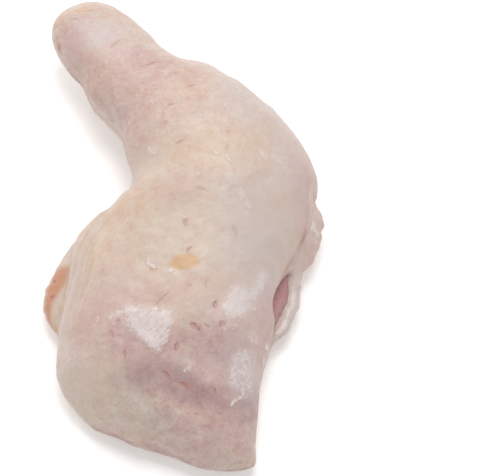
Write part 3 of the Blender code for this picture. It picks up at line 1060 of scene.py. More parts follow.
@dataclass
class Effects:
    """Node groups that the finishes share: the moist grain, the drawn-out fibres and the small marks."""

    groups: dict[str, bpy.types.NodeTree] = field(default_factory=dict)

    def build(self) -> Effects:
        """Makes the groups and returns itself."""
        self.groups = {"grain": self._grain(), "fibres": self._fibres(), "marks": self._marks()}
        return self

    def use(self, nodes: Nodes, name: str, inputs: dict) -> bpy.types.Node:
        """Places a group in a material with its own values."""
        node = nodes.tree.nodes.new("ShaderNodeGroup")
        node.node_tree = self.groups[name]
        for key, value in inputs.items():
            if isinstance(value, bpy.types.NodeSocket):
                nodes.tree.links.new(value, node.inputs[key])
            else:
                node.inputs[key].default_value = value
        return node

    @staticmethod
    def _grain() -> bpy.types.NodeTree:
        """Moist grain: cells of a given size, broken up by a finer noise, as a height from 0 to 1."""
        tree, nodes, start, end = make_group(
            "moist_grain", {"Vector": ("NodeSocketVector", None), "Scale": ("NodeSocketFloat", 500.0)},
            {"Height": "NodeSocketFloat"})
        cells = nodes.add("TexVoronoi", {"Vector": start.outputs["Vector"], "Scale": start.outputs["Scale"],
                                         "Randomness": 1.0}, feature="SMOOTH_F1")
        fine_scale = nodes.maths("MULTIPLY", start.outputs["Scale"], 2.3)
        fine = nodes.add("TexNoise", {"Vector": start.outputs["Vector"], "Scale": fine_scale, "Detail": 4.0})
        height = nodes.maths("ADD", nodes.maths("MULTIPLY", cells.outputs["Distance"], 0.6),
                             nodes.maths("MULTIPLY", fine.outputs[0], 0.5))
        tree.links.new(height, end.inputs["Height"])
        return tree

    @staticmethod
    def _fibres() -> bpy.types.NodeTree:
        """Fibres: a noise of places turned about Z and drawn out along the fibres, from 0 to 1."""
        tree, nodes, start, end = make_group(
            "drawn_fibres", {"Vector": ("NodeSocketVector", None), "Turn": ("NodeSocketVector", None),
                             "Scale": ("NodeSocketVector", None), "Wander": ("NodeSocketFloat", 1.0)},
            {"Fibre": "NodeSocketFloat"})
        turned = nodes.add("Mapping", {"Vector": start.outputs["Vector"], "Rotation": start.outputs["Turn"]},
                           vector_type="TEXTURE")
        drawn = nodes.add("VectorMath", {0: turned.outputs[0], 1: start.outputs["Scale"]}, operation="MULTIPLY")
        noise = nodes.add("TexNoise", {"Vector": drawn.outputs[0], "Scale": 1.0, "Detail": 4.0,
                                       "Roughness": 0.6, "Distortion": start.outputs["Wander"]})
        tree.links.new(noise.outputs[0], end.inputs["Fibre"])
        return tree

    @staticmethod
    def _marks() -> bpy.types.NodeTree:
        """Pores like small lenses, from places on each pore's own axes.

        The middle line bends a little with the square of the place along it. The pit is where 0.8 x the place
        along squared, plus the distance from that line, is below 1. The ring is its rim, stronger on one side.
        """
        tree, nodes, start, end = make_group(
            "pore_marks", {"Along": ("NodeSocketFloat", 9.0), "Across": ("NodeSocketFloat", 9.0),
                           "On": ("NodeSocketFloat", 0.0), "Rough": ("NodeSocketFloat", 0.5)},
            {"Pit": "NodeSocketFloat", "Ring": "NodeSocketFloat"})
        along, across, shown = (start.outputs[name] for name in ("Along", "Across", "On"))
        along_square = nodes.maths("MULTIPLY", along, along)
        bent = nodes.maths("ADD", across, nodes.maths("SUBTRACT", nodes.maths("MULTIPLY", along_square, 0.3), 0.1))
        wobble = nodes.maths("MULTIPLY", nodes.maths("SUBTRACT", start.outputs["Rough"], 0.5), 3.2)
        lens = nodes.maths("ADD", nodes.maths("MULTIPLY", along_square, 0.8), nodes.maths("ABSOLUTE", bent))
        away = nodes.maths("ADD", lens, wobble)
        pit = nodes.ramp(away, 0.5, 1.2, 1.0, 0.0)
        ring = nodes.maths("MULTIPLY", nodes.ramp(away, 0.1, 0.6), nodes.ramp(away, 0.75, 1.25, 1.0, 0.0))
        ring = nodes.maths("MULTIPLY", ring, nodes.ramp(bent, -0.6, 0.6, 0.5, 1.0))
        tree.links.new(nodes.maths("MULTIPLY", pit, shown), end.inputs["Pit"])
        tree.links.new(nodes.maths("MULTIPLY", ring, shown), end.inputs["Ring"])
        return tree


def start_material(name: str) -> tuple[bpy.types.Material, Nodes, bpy.types.Node]:
    """Starts a node material and returns it with its short calls and its Principled shader."""
    material = bpy.data.materials.new(name)
    material.use_nodes = True
    nodes = Nodes(material.node_tree)
    return material, nodes, material.node_tree.nodes["Principled BSDF"]


@dataclass(frozen=True)
class SkinFinish:
    """Raw skin: cream, drifting to pink, violet, grey and yellow fat, with pores and a moist sheen; icy patches that
    are partly painted highlights with painted glints, a pale mauve that is partly a painted sheen, and painted
    highlight and shade on the folds.
    """

    cream: Colour = (0.605, 0.468, 0.384)
    pale: Colour = (0.622, 0.518, 0.456)
    blush: Colour = (0.525, 0.348, 0.312)
    violet: Colour = (0.320, 0.195, 0.207)
    fat: Colour = (0.625, 0.498, 0.386)
    grey: Colour = (0.490, 0.425, 0.365)
    salmon: Colour = (0.540, 0.275, 0.180)
    amber: Colour = (0.600, 0.385, 0.222)
    red: Colour = (0.520, 0.200, 0.165)
    rose: Colour = (0.565, 0.396, 0.378)
    # Pale mauve: partly the skin's own tone, partly a painted sheen on the drumstick, the knob and the ridges.
    lilac: Colour = (0.585, 0.505, 0.495)
    # Icy patches: partly real ice, partly painted highlight.
    frost: Colour = (0.700, 0.622, 0.605)
    # Painted glints in the icy patches.
    painted_glint: Colour = (0.880, 0.850, 0.840)
    # Pale cut edge; also the painted highlight on ridges and fold streaks, and painted light on the upper lobe.
    rim: Colour = (0.675, 0.570, 0.485)
    # Painted shade in the furrows and in the fold streaks.
    fold_shade: Colour = (0.540, 0.400, 0.310)
    dusk: Colour = (0.970, 0.820, 0.800)
    dawn: Colour = (1.060, 1.120, 1.140)
    pore_red: Colour = (0.350, 0.130, 0.098)
    pore_tan: Colour = (0.450, 0.265, 0.165)
    pore_pale: Colour = (0.560, 0.470, 0.320)
    streak_turn: float = 18.0
    frost_turn: float = 48.0
    bump_mm: float = 0.12
    subsurface: float = 0.22
    coat_roughness: float = 0.24

    def build(self, effects: Effects) -> bpy.types.Material:
        """Builds the material.

        Args:
            effects: the shared node groups.

        Returns:
            The finished material.
        """
        material, nodes, shader = start_material("raw_skin")
        place = nodes.place()
        rim, ridge_light_share, veins = nodes.masks("edge")
        near_mark, halo, mottle = nodes.masks("spot")
        frost, lilac, wet = nodes.masks("cover")
        spots = nodes.noise(place, 260.0, 4.0, 0.6)
        flecks = nodes.noise(place, 900.0, 3.0, 0.6)
        turn = (0.0, 0.0, np.radians(self.streak_turn))
        fibres = effects.use(nodes, "fibres", {"Vector": place, "Turn": turn, "Scale": (110.0, 480.0, 420.0),
                                               "Wander": 0.8}).outputs["Fibre"]

        colour = self._toned(nodes, place, spots)
        colour = self._streaked(nodes, colour, fibres, veins)
        colour = self._flecked(nodes, colour, nodes.noise(place, 260.0, 5.0, 0.6, 1.2), flecks, mottle)
        # Pale and tan streaks along the main fold: painted highlight and shade.
        colour, fold_streaks = self._folded(nodes, colour)
        # Pale mauve over the colour: partly the skin's own tone, partly a painted sheen.
        colour = nodes.blend(lilac, colour, self.lilac)
        # Painted highlight on ridges and painted shade in furrows, from the heights of the drawn lines.
        colour = nodes.blend(nodes.ramp(ridge_light_share, 0.52, 0.9, 0.0, 0.5), colour, self.rim)
        colour = nodes.blend(nodes.ramp(ridge_light_share, 0.48, 0.22, 0.0, 0.6), colour, self.fold_shade)
        colour = self._stained(nodes, colour, spots)
        # Pale cut edges, and painted light on the upper lobe.
        colour = nodes.blend(rim, colour, self.rim)
        marks = self._mark_shapes(nodes, effects, near_mark, flecks)
        colour = nodes.blend(nodes.maths("MULTIPLY", halo, 0.25), colour, self.blush)
        colour = self._inked(nodes, colour, marks)
        # Icy patches over the colour, partly painted highlights, with painted glints.
        colour, icy, shreds = self._iced(nodes, effects, colour, frost)

        cells = effects.use(nodes, "grain", {"Vector": place, "Scale": 700.0}).outputs["Height"]
        ridges = nodes.maths("MULTIPLY", fibres, nodes.maths("MULTIPLY", veins, 0.6))
        ridges = nodes.maths("ADD", ridges, nodes.maths("MULTIPLY", fold_streaks, 2.0))
        height = nodes.maths("ADD", nodes.maths("MULTIPLY", cells, 0.5), ridges)
        height = nodes.maths("ADD", height, nodes.maths("MULTIPLY", spots, 0.9))
        height = nodes.maths("SUBTRACT", height, nodes.maths("MULTIPLY", marks.outputs["Pit"], 0.5))
        ice_height = nodes.maths("MULTIPLY", nodes.ramp(frost, 0.1, 0.6), nodes.maths("MULTIPLY", shreds, 3.0))
        height = nodes.maths("ADD", height, ice_height)
        bump = nodes.add("Bump", {"Height": height, "Distance": self.bump_mm * MM, "Strength": 0.9})

        rough = nodes.ramp(spots, 0.3, 0.7, 0.44, 0.56)
        rough = nodes.maths("SUBTRACT", rough, nodes.maths("MULTIPLY", wet, 0.10))
        rough = nodes.maths("SUBTRACT", rough, nodes.maths("MULTIPLY", icy, 0.10), clamp=True)
        coat = nodes.maths("ADD", nodes.maths("MULTIPLY", wet, 0.25), nodes.maths("MULTIPLY", icy, 0.25))
        links = nodes.tree.links
        links.new(colour, shader.inputs["Base Color"])
        links.new(rough, shader.inputs["Roughness"])
        links.new(bump.outputs[0], shader.inputs["Normal"])
        links.new(nodes.maths("ADD", coat, 0.07, clamp=True), shader.inputs["Coat Weight"])
        shader.inputs["Coat Roughness"].default_value = self.coat_roughness
        shader.inputs["Subsurface Weight"].default_value = self.subsurface
        shader.inputs["Subsurface Radius"].default_value = (1.0, 0.36, 0.24)
        shader.inputs["Subsurface Scale"].default_value = 0.0018
        shader.inputs["IOR"].default_value = 1.42
        return material

    @staticmethod
    def _broken(nodes: Nodes, mask: Socket, spots: Socket, low: float = 0.25, high: float = 1.15) -> Socket:
        """A mask whose edge the spots break up: the smooth step of mask x 0.8 + spots x 0.5."""
        total = nodes.maths("ADD", nodes.maths("MULTIPLY", mask, 0.8), nodes.maths("MULTIPLY", spots, 0.5))
        return nodes.ramp(total, low, high)

    def _toned(self, nodes: Nodes, place: Socket, spots: Socket) -> Socket:
        """The base colour in slow clouds, with the soft tones of the zones over it."""
        blush, violet, fat = nodes.masks("tone_a")
        grey = nodes.masks("tone_b")[0]
        rose = nodes.masks("tone_c")[1]
        clouds = nodes.noise(place, 55.0, 4.0, 0.55)
        colour = nodes.blend(nodes.ramp(clouds, 0.35, 0.68), self.cream, self.pale)
        tones = ((fat, self.fat), (grey, self.grey), (rose, self.rose), (blush, self.blush), (violet, self.violet))
        for mask, tone in tones:
            colour = nodes.blend(nodes.maths("MULTIPLY", self._broken(nodes, mask, spots), 0.85), colour, tone)
        return colour

    def _streaked(self, nodes: Nodes, colour: Socket, fibres: Socket, veins: Socket) -> Socket:
        """The colour with pink and pale streaks along the fibres."""
        pink = nodes.maths("MULTIPLY", nodes.ramp(fibres, 0.50, 0.70), nodes.maths("MULTIPLY", veins, 0.5))
        pale = nodes.maths("MULTIPLY", nodes.ramp(fibres, 0.48, 0.30), nodes.maths("MULTIPLY", veins, 0.6))
        return self._tinted(nodes, colour, pink, pale)

    def _flecked(self, nodes: Nodes, colour: Socket, coarse: Socket, fine: Socket, mottle: Socket) -> Socket:
        """The colour with pink and pale flecks of two sizes."""
        both = nodes.maths("ADD", nodes.maths("MULTIPLY", coarse, 0.5), nodes.maths("MULTIPLY", fine, 0.5))
        pink = nodes.maths("MULTIPLY", nodes.ramp(both, 0.51, 0.60), nodes.ramp(mottle, 0.0, 1.0, 0.32, 0.9))
        pale = nodes.maths("MULTIPLY", nodes.ramp(both, 0.49, 0.40), nodes.ramp(mottle, 0.0, 1.0, 0.36, 0.95))
        return self._tinted(nodes, colour, pink, pale)

    def _tinted(self, nodes: Nodes, colour: Socket, pink: Socket, pale: Socket) -> Socket:
        """The colour made pinker and paler by two masks: multiplied by the dusk and the dawn tints."""
        colour = nodes.blend(pink, colour, self.dusk, "MULTIPLY")
        return nodes.blend(pale, colour, self.dawn, "MULTIPLY")

    def _folded(self, nodes: Nodes, colour: Socket) -> tuple[Socket, Socket]:
        """The colour with pale and tan streaks that run along the main fold, as painted highlight and shade of its
        small ridges, and the height of the streaks.
        """
        along, across, share = nodes.masks("fold")
        drawn = nodes.add("CombineXYZ", {"X": nodes.maths("MULTIPLY", along, 0.06),
                                         "Y": nodes.maths("MULTIPLY", across, 0.75)}).outputs[0]
        streaks = nodes.noise(drawn, 1.0, 3.0, 0.6, 0.25)
        tan = nodes.maths("MULTIPLY", nodes.ramp(streaks, 0.48, 0.36), nodes.maths("MULTIPLY", share, 0.55))
        pale = nodes.maths("MULTIPLY", nodes.ramp(streaks, 0.52, 0.64), nodes.maths("MULTIPLY", share, 0.6))
        colour = nodes.blend(pale, nodes.blend(tan, colour, self.fold_shade), self.rim)
        return colour, nodes.maths("MULTIPLY", streaks, share)

    def _stained(self, nodes: Nodes, colour: Socket, spots: Socket) -> Socket:
        """The colour with the amber, salmon and red stains over it."""
        salmon, red = nodes.masks("tone_b")[1:]
        amber = nodes.masks("tone_c")[0]
        colour = nodes.blend(self._broken(nodes, amber, spots, 0.35, 0.95), colour, self.amber)
        colour = nodes.blend(self._broken(nodes, salmon, spots, 0.4, 1.0), colour, self.salmon)
        return nodes.blend(self._broken(nodes, red, spots, 0.45, 1.1), colour, self.red)

    @staticmethod
    def _mark_shapes(nodes: Nodes, effects: Effects, near_mark: Socket, flecks: Socket) -> bpy.types.Node:
        """The shared marks, fed from the skin's own attributes."""
        along, across = nodes.masks("mark")[:2]
        inputs = {"Along": along, "Across": across, "On": near_mark, "Rough": flecks}
        return effects.use(nodes, "marks", inputs)

    def _inked(self, nodes: Nodes, colour: Socket, marks: bpy.types.Node) -> Socket:
        """The colour with the marks in their own shades: full in the ring and fainter in the pit."""
        shade = nodes.masks("mark")[2]
        brown = nodes.blend(nodes.ramp(shade, 0.3, 0.7), self.pore_red, self.pore_tan)
        ink = nodes.blend(nodes.ramp(shade, 1.3, 1.7), brown, self.pore_pale)
        ring = nodes.maths("MULTIPLY", marks.outputs["Ring"], 0.9)
        pit = nodes.maths("MULTIPLY", marks.outputs["Pit"], 0.35)
        return nodes.blend(nodes.maths("MAXIMUM", ring, pit), colour, ink)

    def _iced(self, nodes: Nodes, effects: Effects, colour: Socket, frost: Socket) -> tuple[Socket, ...]:
        """Icy patches over the colour, partly painted highlight, with a ragged edge, pink gaps and small painted
        glints.

        Args:
            nodes: the material's short calls.
            effects: the shared node groups.
            colour: the skin's colour.
            frost: amount of frost from 0 to 1.

        Returns:
            The frosted colour, the share that ice covers and the unevenness of the ice.
        """
        place = nodes.place()
        turn = (0.0, 0.0, np.radians(self.frost_turn))
        feathers = effects.use(nodes, "fibres", {"Vector": place, "Turn": turn, "Scale": (240.0, 1100.0, 700.0),
                                                 "Wander": 1.6}).outputs["Fibre"]
        coarse = nodes.noise(place, 260.0, 6.0, 0.65, 1.0)
        fine = nodes.noise(place, 750.0, 6.0, 0.7, 1.4)
        shreds = nodes.maths("ADD", nodes.maths("MULTIPLY", coarse, 0.3), nodes.maths("MULTIPLY", feathers, 0.3))
        shreds = nodes.maths("ADD", shreds, nodes.maths("MULTIPLY", fine, 0.4))
        total = nodes.maths("ADD", frost, nodes.maths("MULTIPLY", nodes.maths("SUBTRACT", shreds, 0.5), 4.0))
        icy = nodes.maths("MULTIPLY", nodes.ramp(total, 0.46, 0.70), nodes.ramp(frost, 0.05, 0.35))
        thin = nodes.maths("MULTIPLY", nodes.ramp(frost, 0.15, 0.8), 0.35)
        covered = nodes.maths("MAXIMUM", nodes.maths("MULTIPLY", icy, 0.85), thin)
        # Painted glints in the ice.
        ice = nodes.blend(nodes.ramp(fine, 0.56, 0.68, 0.0, 0.75), self.frost, self.painted_glint)
        ice = nodes.blend(nodes.ramp(feathers, 0.46, 0.34, 0.0, 0.35), ice, self.blush)
        return nodes.blend(covered, colour, ice), icy, shreds


@dataclass(frozen=True)
class MeatFinish:
    """Raw thigh meat: dark pink fibres with pale films and fat in the furrows, moist all over."""

    flesh: Colour = (0.49, 0.255, 0.25)
    deep: Colour = (0.37, 0.15, 0.145)
    pale: Colour = (0.58, 0.37, 0.355)
    film: Colour = (0.74, 0.64, 0.58)
    fibre_turn: float = -62.0

    def build(self, effects: Effects) -> bpy.types.Material:
        """Builds the material from the shared groups and returns it."""
        material, nodes, shader = start_material("raw_meat")
        place = nodes.place()
        furrow, film, deep = nodes.masks("flesh")
        turn = (0.0, 0.0, np.radians(self.fibre_turn))
        fibres = effects.use(nodes, "fibres", {"Vector": place, "Turn": turn, "Scale": (70.0, 900.0, 600.0),
                                               "Wander": 0.8}).outputs["Fibre"]
        clouds = nodes.noise(place, 110.0, 4.0, 0.6)
        spots = nodes.noise(place, 420.0, 4.0, 0.6)
        colour = nodes.blend(nodes.ramp(clouds, 0.35, 0.7), self.flesh, self.pale)
        colour = nodes.blend(nodes.ramp(fibres, 0.52, 0.7, 0.0, 0.6), colour, self.deep)
        colour = nodes.blend(nodes.ramp(fibres, 0.45, 0.3, 0.0, 0.45), colour, self.pale)
        # The third mask darkens the meat: in the slit, a little painted shade of the recess.
        colour = nodes.blend(nodes.maths("MULTIPLY", deep, 0.7), colour, self.deep)
        patchy = nodes.maths("ADD", film, nodes.maths("MULTIPLY", nodes.maths("SUBTRACT", spots, 0.5), 0.9))
        colour = nodes.blend(nodes.ramp(patchy, 0.35, 0.8, 0.0, 0.9), colour, self.film)
        colour = nodes.blend(nodes.maths("MULTIPLY", furrow, 0.5), colour, self.deep)
        grain = effects.use(nodes, "grain", {"Vector": place, "Scale": 900.0}).outputs["Height"]
        height = nodes.maths("ADD", nodes.maths("MULTIPLY", fibres, 1.4), nodes.maths("MULTIPLY", grain, 0.4))
        bump = nodes.add("Bump", {"Height": height, "Distance": 0.18 * MM, "Strength": 0.9})
        links = nodes.tree.links
        links.new(colour, shader.inputs["Base Color"])
        links.new(nodes.ramp(spots, 0.3, 0.7, 0.26, 0.44), shader.inputs["Roughness"])
        links.new(bump.outputs[0], shader.inputs["Normal"])
        shader.inputs["Subsurface Weight"].default_value = 0.2
        shader.inputs["Subsurface Radius"].default_value = (1.0, 0.25, 0.18)
        shader.inputs["Subsurface Scale"].default_value = 0.003
        shader.inputs["Coat Weight"].default_value = 0.25
        shader.inputs["Coat Roughness"].default_value = 0.18
        return material


@dataclass(frozen=True)
class GristleFinish:
    """Gristle of the hock: pearly white with a bluish cast, pinker in the hollow between its knuckles."""

    pearl: Colour = (0.66, 0.62, 0.60)
    milk: Colour = (0.70, 0.61, 0.53)
    hollow: Colour = (0.56, 0.33, 0.30)

    def build(self, effects: Effects) -> bpy.types.Material:
        """Builds the material from the shared groups and returns it."""
        material, nodes, shader = start_material("hock_gristle")
        place = nodes.place()
        hollow = nodes.masks("flesh")[0]
        clouds = nodes.noise(place, 160.0, 4.0, 0.6)
        spots = nodes.noise(place, 700.0, 4.0, 0.6)
        colour = nodes.blend(nodes.ramp(clouds, 0.35, 0.65), self.pearl, self.milk)
        reddish = nodes.maths("ADD", hollow, nodes.maths("MULTIPLY", nodes.maths("SUBTRACT", spots, 0.5), 0.7))
        colour = nodes.blend(nodes.ramp(reddish, 0.3, 0.9, 0.0, 0.85), colour, self.hollow)
        grain = effects.use(nodes, "grain", {"Vector": place, "Scale": 600.0}).outputs["Height"]
        bump = nodes.add("Bump", {"Height": grain, "Distance": 0.15 * MM, "Strength": 0.8})
        links = nodes.tree.links
        links.new(colour, shader.inputs["Base Color"])
        links.new(nodes.ramp(spots, 0.3, 0.7, 0.2, 0.36), shader.inputs["Roughness"])
        links.new(bump.outputs[0], shader.inputs["Normal"])
        shader.inputs["Subsurface Weight"].default_value = 0.25
        shader.inputs["Subsurface Radius"].default_value = (1.0, 0.7, 0.6)
        shader.inputs["Subsurface Scale"].default_value = 0.002
        shader.inputs["Coat Weight"].default_value = 0.35
        shader.inputs["Coat Roughness"].default_value = 0.12
        return material


def dress(piece: bpy.types.Object) -> None:
    """Hooks a finished piece to the leg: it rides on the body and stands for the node."""
    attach(piece, "root")
    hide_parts(NODE)
    LOG.info("%s: %d faces", piece.name, len(piece.data.polygons))


@dataclass
class Skin:
    """The skin, as one closed surface over the whole leg with folds, pores, icy patches that are partly painted
    highlights, and sunken windows.
    """

    form: LegForm
    windows: Windows
    finish: SkinFinish
    relief: Relief = field(default_factory=Relief)
    zones: tuple[Zone | Patch, ...] = ZONES
    lines: tuple[Line, ...] = LINES
    nudges: tuple[Swell, ...] = NUDGES
    marks: tuple[Mark, ...] = MARKS
    grid_plan: GridPlan = field(default_factory=lambda: GridPlan(300, 330))
    extra_marks: int = 46
    mark_stretch: float = 1.15
    mark_widening: float = 1.15
    seed: int = 7

    def build(self, effects: Effects) -> bpy.types.Object:
        """Builds and dresses the piece.

        The place of each point is the form's, plus the relief outward, less the sink of the windows.

        Args:
            effects: the shared node groups.

        Returns:
            The finished piece.
        """
        grid = self.form.grid(self.grid_plan.along(self.form.length()), self.grid_plan.around(self.form))
        normal = grid.normals()
        tones = self._tones(grid, normal)
        lift, ridge_light_share = self._lift(grid, normal, tones)
        near, close, halo, depth = self._marks(grid, normal)
        lift = lift - self.relief.pit_share * depth - self.windows.skin_sink(grid)
        fade = (1 - np.exp(-grid.to_hem / 0.6)) * (1 - np.exp(-grid.from_tip / 0.6))
        points = close_ends(grid.xyz + normal * (lift * fade)[..., None] + self._nudged(grid, normal))
        points = held_in_box(points)
        along_fold, across_fold = MAIN_FOLD.frame(grid.xyz)
        masks = {
            "tone_a": np.stack([tones[Tone.BLUSH], tones[Tone.VIOLET], tones[Tone.FAT]], -1),
            "tone_b": np.stack([tones[Tone.GREY], tones[Tone.SALMON], tones[Tone.RED]], -1),
            "tone_c": np.stack([tones[Tone.AMBER], tones[Tone.ROSE], tones[Tone.ROSE]], -1),
            "cover": np.stack([tones[Tone.FROST_AND_HIGHLIGHT], tones[Tone.LILAC_AND_SHEEN], tones[Tone.WET]], -1),
            "edge": np.stack([self._cut_edge_and_lobe_light(grid), ridge_light_share, self._veins(grid)], -1),
            "mark": near,
            "spot": np.stack([close, halo, self._mottle(grid)], -1),
            "fold": np.stack([along_fold, across_fold, self._folds(grid, along_fold, across_fold)], -1),
        }
        piece = make_piece("skin", points, masks, self.finish.build(effects))
        dress(piece)
        return piece

    def _tones(self, grid: LoftGrid, normal: np.ndarray) -> dict[Tone, np.ndarray]:
        """Amount of each tone: the zones on what faces up, and slow ripples on the rest."""
        upper = step(normal[..., 2], -0.25, 0.3)
        tones = {tone: np.zeros(grid.height.shape) for tone in Tone}
        for zone in self.zones:
            tones[zone.tone] = np.maximum(tones[zone.tone], zone.spread(grid.xyz))
        drift = ripple(grid.xyz, 34.0, 61)
        around = {Tone.BLUSH: 0.35 + 0.3 * drift, Tone.FAT: 0.35 - 0.35 * drift,
                  Tone.VIOLET: 0.15 + 0.3 * ripple(grid.xyz, 26.0, 62)}
        for tone in Tone:
            tones[tone] = tones[tone] * upper + np.clip(around.get(tone, 0), 0, 1) * (1 - upper)
        for line in self.lines:
            if line.tone is not None:
                own = line.amount * line.strength(grid.xyz, 1.15) * upper
                tones[line.tone] = np.maximum(tones[line.tone], own)
        flap = self._flap(grid)
        # The flap's inner edge: icy, with painted highlight.
        tones[Tone.FROST_AND_HIGHLIGHT] = np.maximum(tones[Tone.FROST_AND_HIGHLIGHT], 0.75 * flap["frosty edge"])
        tones[Tone.BLUSH] = np.maximum(tones[Tone.BLUSH], 0.8 * flap["crease"])
        tones[Tone.FAT] = np.maximum(tones[Tone.FAT], 0.7 * flap["lobe"])
        tones[Tone.ROSE] = np.maximum(tones[Tone.ROSE], np.maximum(flap["lobe"], 0.6 * flap["flap"]))
        tones[Tone.LILAC_AND_SHEEN] = np.maximum(tones[Tone.LILAC_AND_SHEEN], 0.9 * flap["flap"])
        tones[Tone.BLUSH] = np.maximum(tones[Tone.BLUSH], 0.5 * flap["lobe"])
        tones[Tone.VIOLET] = np.maximum(tones[Tone.VIOLET], 0.95 * self.windows.slit_wall(grid))
        strands = step(ripple(np.stack([grid.xyz[..., 0], grid.xyz[..., 1] / 4.0, grid.xyz[..., 2]], -1), 2.4, 87),
                       0.3, 1.3)
        tones[Tone.LILAC_AND_SHEEN] = np.maximum(tones[Tone.LILAC_AND_SHEEN], 0.15 * flap["lobe"] * strands)
        wrinkles = self.relief.wrinkles(grid.xyz)
        tones[Tone.VIOLET] = np.maximum(tones[Tone.VIOLET], 0.35 * step(-wrinkles, 0.1, 0.8) * upper)
        tones[Tone.LILAC_AND_SHEEN] = np.maximum(tones[Tone.LILAC_AND_SHEEN], 0.6 * step(wrinkles, 0.0, 0.7) * upper)
        tones[Tone.SALMON] = np.maximum(tones[Tone.SALMON], 0.95 * self._tag(grid))
        tag_fat = self._tag_fat(grid)
        drawn = np.stack([grid.xyz[..., 0], grid.xyz[..., 1] / 2.5, grid.xyz[..., 2]], -1)
        tones[Tone.FAT] = np.maximum(tones[Tone.FAT], 0.9 * tag_fat)
        tones[Tone.LILAC_AND_SHEEN] = np.maximum(tones[Tone.LILAC_AND_SHEEN], 0.6 * tag_fat * step(ripple(drawn, 3.2, 85), 0.1, 1.2))
        tones[Tone.AMBER] = np.maximum(tones[Tone.AMBER], 0.55 * tag_fat * step(ripple(drawn, 4.0, 84), 0.4, 1.4))
        # Painted shade along the hem's edge: a thin violet and red band.
        tones[Tone.VIOLET] = np.maximum(tones[Tone.VIOLET], 0.6 * np.exp(-grid.to_hem / 0.8))
        tones[Tone.RED] = np.maximum(tones[Tone.RED], 0.4 * np.exp(-grid.to_hem / 0.8))
        ratio = grid.side / np.maximum(grid.reach, 1)
        # A painted sheen along the upper front side, lightening it where it turns away from the lights.
        band = bell(ratio - 0.8, 0.2) * step(grid.front_y, -25, 10) * step(grid.front_y, 88, 66)
        tones[Tone.LILAC_AND_SHEEN] = np.maximum(tones[Tone.LILAC_AND_SHEEN], 0.4 * band * np.where(grid.lower, 0, 1))
        return tones

    def _tag(self, grid: LoftGrid) -> np.ndarray:
        """Share of the rear tag's own salmon skin: below a level of the fold that falls toward the hem."""
        limit = levels_at(TAG_ROWS, grid.rear_y)[..., 0]
        share = step(limit - grid.tag, -0.28, 0.35) * step(grid.tag, -1.6, -0.4)
        share = share * step(grid.rear_y, -12.0, -20.0) * step(grid.rear_y, -47.0, -40.0)
        return share * np.where(grid.side < 0, 1, 0)

    def _tag_fat(self, grid: LoftGrid) -> np.ndarray:
        """Share of the fat between the rear tag and the skin above it."""
        limit = levels_at(TAG_ROWS, grid.rear_y)[..., 0]
        share = step(grid.tag - limit, -0.05, 0.2) * step(grid.tag, 2.3, 1.7)
        share = share * step(grid.rear_y, -17.0, -24.0) * step(grid.rear_y, -50.0, -42.0)
        return share * np.where(grid.side < 0, 1, 0)

    def _flap(self, grid: LoftGrid) -> dict[str, np.ndarray]:
        """Shares of the front ledge: its flap, the flap's frosty inner edge, the upper lobe and its crease."""
        front = np.where(grid.side > 0.6 * grid.reach, 1.0, 0.0)
        outer = levels_at(SLIT_ROWS, grid.front_y)[..., 0]
        crease = levels_at(LOBE_ROWS, grid.front_y)[..., 0]
        low = step(grid.front_y, -48.0, -42.0) * step(grid.front_y, -12.0, -22.0) * front
        high = step(grid.front_y, -24.0, -12.0) * step(grid.front_y, 17.0, 9.0) * front
        return {
            "flap": low * bell(grid.lip - outer + 0.35, 0.3),
            "frosty edge": low * bell(grid.lip - outer + 0.1, 0.2) * step(grid.front_y, -18.0, -28.0),
            "lobe": high * step(crease - grid.lip, 0.0, 0.4) * step(grid.lip, -1.2, -0.4),
            "crease": high * bell((grid.lip - crease) * self.windows.level_mm, 1.1),
        }

    def _veins(self, grid: LoftGrid) -> np.ndarray:
        """Strength of the streaks: full on the drumstick, faint on the thigh."""
        return 0.12 + 0.88 * step(grid.xyz[..., 1], 5.0, 45.0)

    def _mottle(self, grid: LoftGrid) -> np.ndarray:
        """Strength of the pink and pale flecks: most near the hem, least in mid thigh and at the lower left."""
        x, y = grid.xyz[..., 0], grid.xyz[..., 1]
        low = step(y, -35.0, -75.0)
        high = 0.45 * step(y, 15.0, 45.0)
        calm = 0.85 * bell(np.hypot((x + 27.0) / 17.0, (y + 65.0) / 11.0), 1.0)
        return np.clip((0.2 + 0.8 * low + high) * (1 - calm), 0, 1)

    def _cut_edge_and_lobe_light(self, grid: LoftGrid) -> np.ndarray:
        """Share of pale cut edge: round the windows, along the rear tag and the front lip; and painted light on the
        upper lobe, whose steep slope is otherwise in shade.
        """
        cut = np.maximum(bell(self.windows.belly(grid) + 0.3, 1.5), bell(self.windows.hock(grid) + 0.2, 1.2))
        tag = 0.95 * bell(grid.tag - 0.25, 0.2) * np.clip(grid.tag_push / 6, 0, 1) * np.where(grid.side < 0, 1, 0)
        ledge = np.clip(grid.lip_push / 7, 0, 1) * np.where(grid.side > 0, 1, 0)
        lip = 0.45 * bell(grid.lip - 0.1, 0.6) * ledge
        # Painted light on the upper lobe, whose steep slope is otherwise in shade.
        lobe = 0.3 * self._flap(grid)["lobe"]
        return np.clip(np.maximum.reduce([cut, tag, lip, lobe]), 0, 1)

    def _lift(self, grid: LoftGrid, normal: np.ndarray, tones: dict[Tone, np.ndarray]):
        """Relief outward: folds, lumps, wrinkles, icy lumps and the dents of the hem, and the share of ridge and
        furrow that the colour paints as highlight and shade.
        """
        rel = self.relief
        xyz = grid.xyz
        upper = np.where(grid.lower, 0.0, 1.0)
        drawn = np.zeros(grid.height.shape)
        for line in self.lines:
            drawn = drawn + line.height * line.strength(xyz) * upper
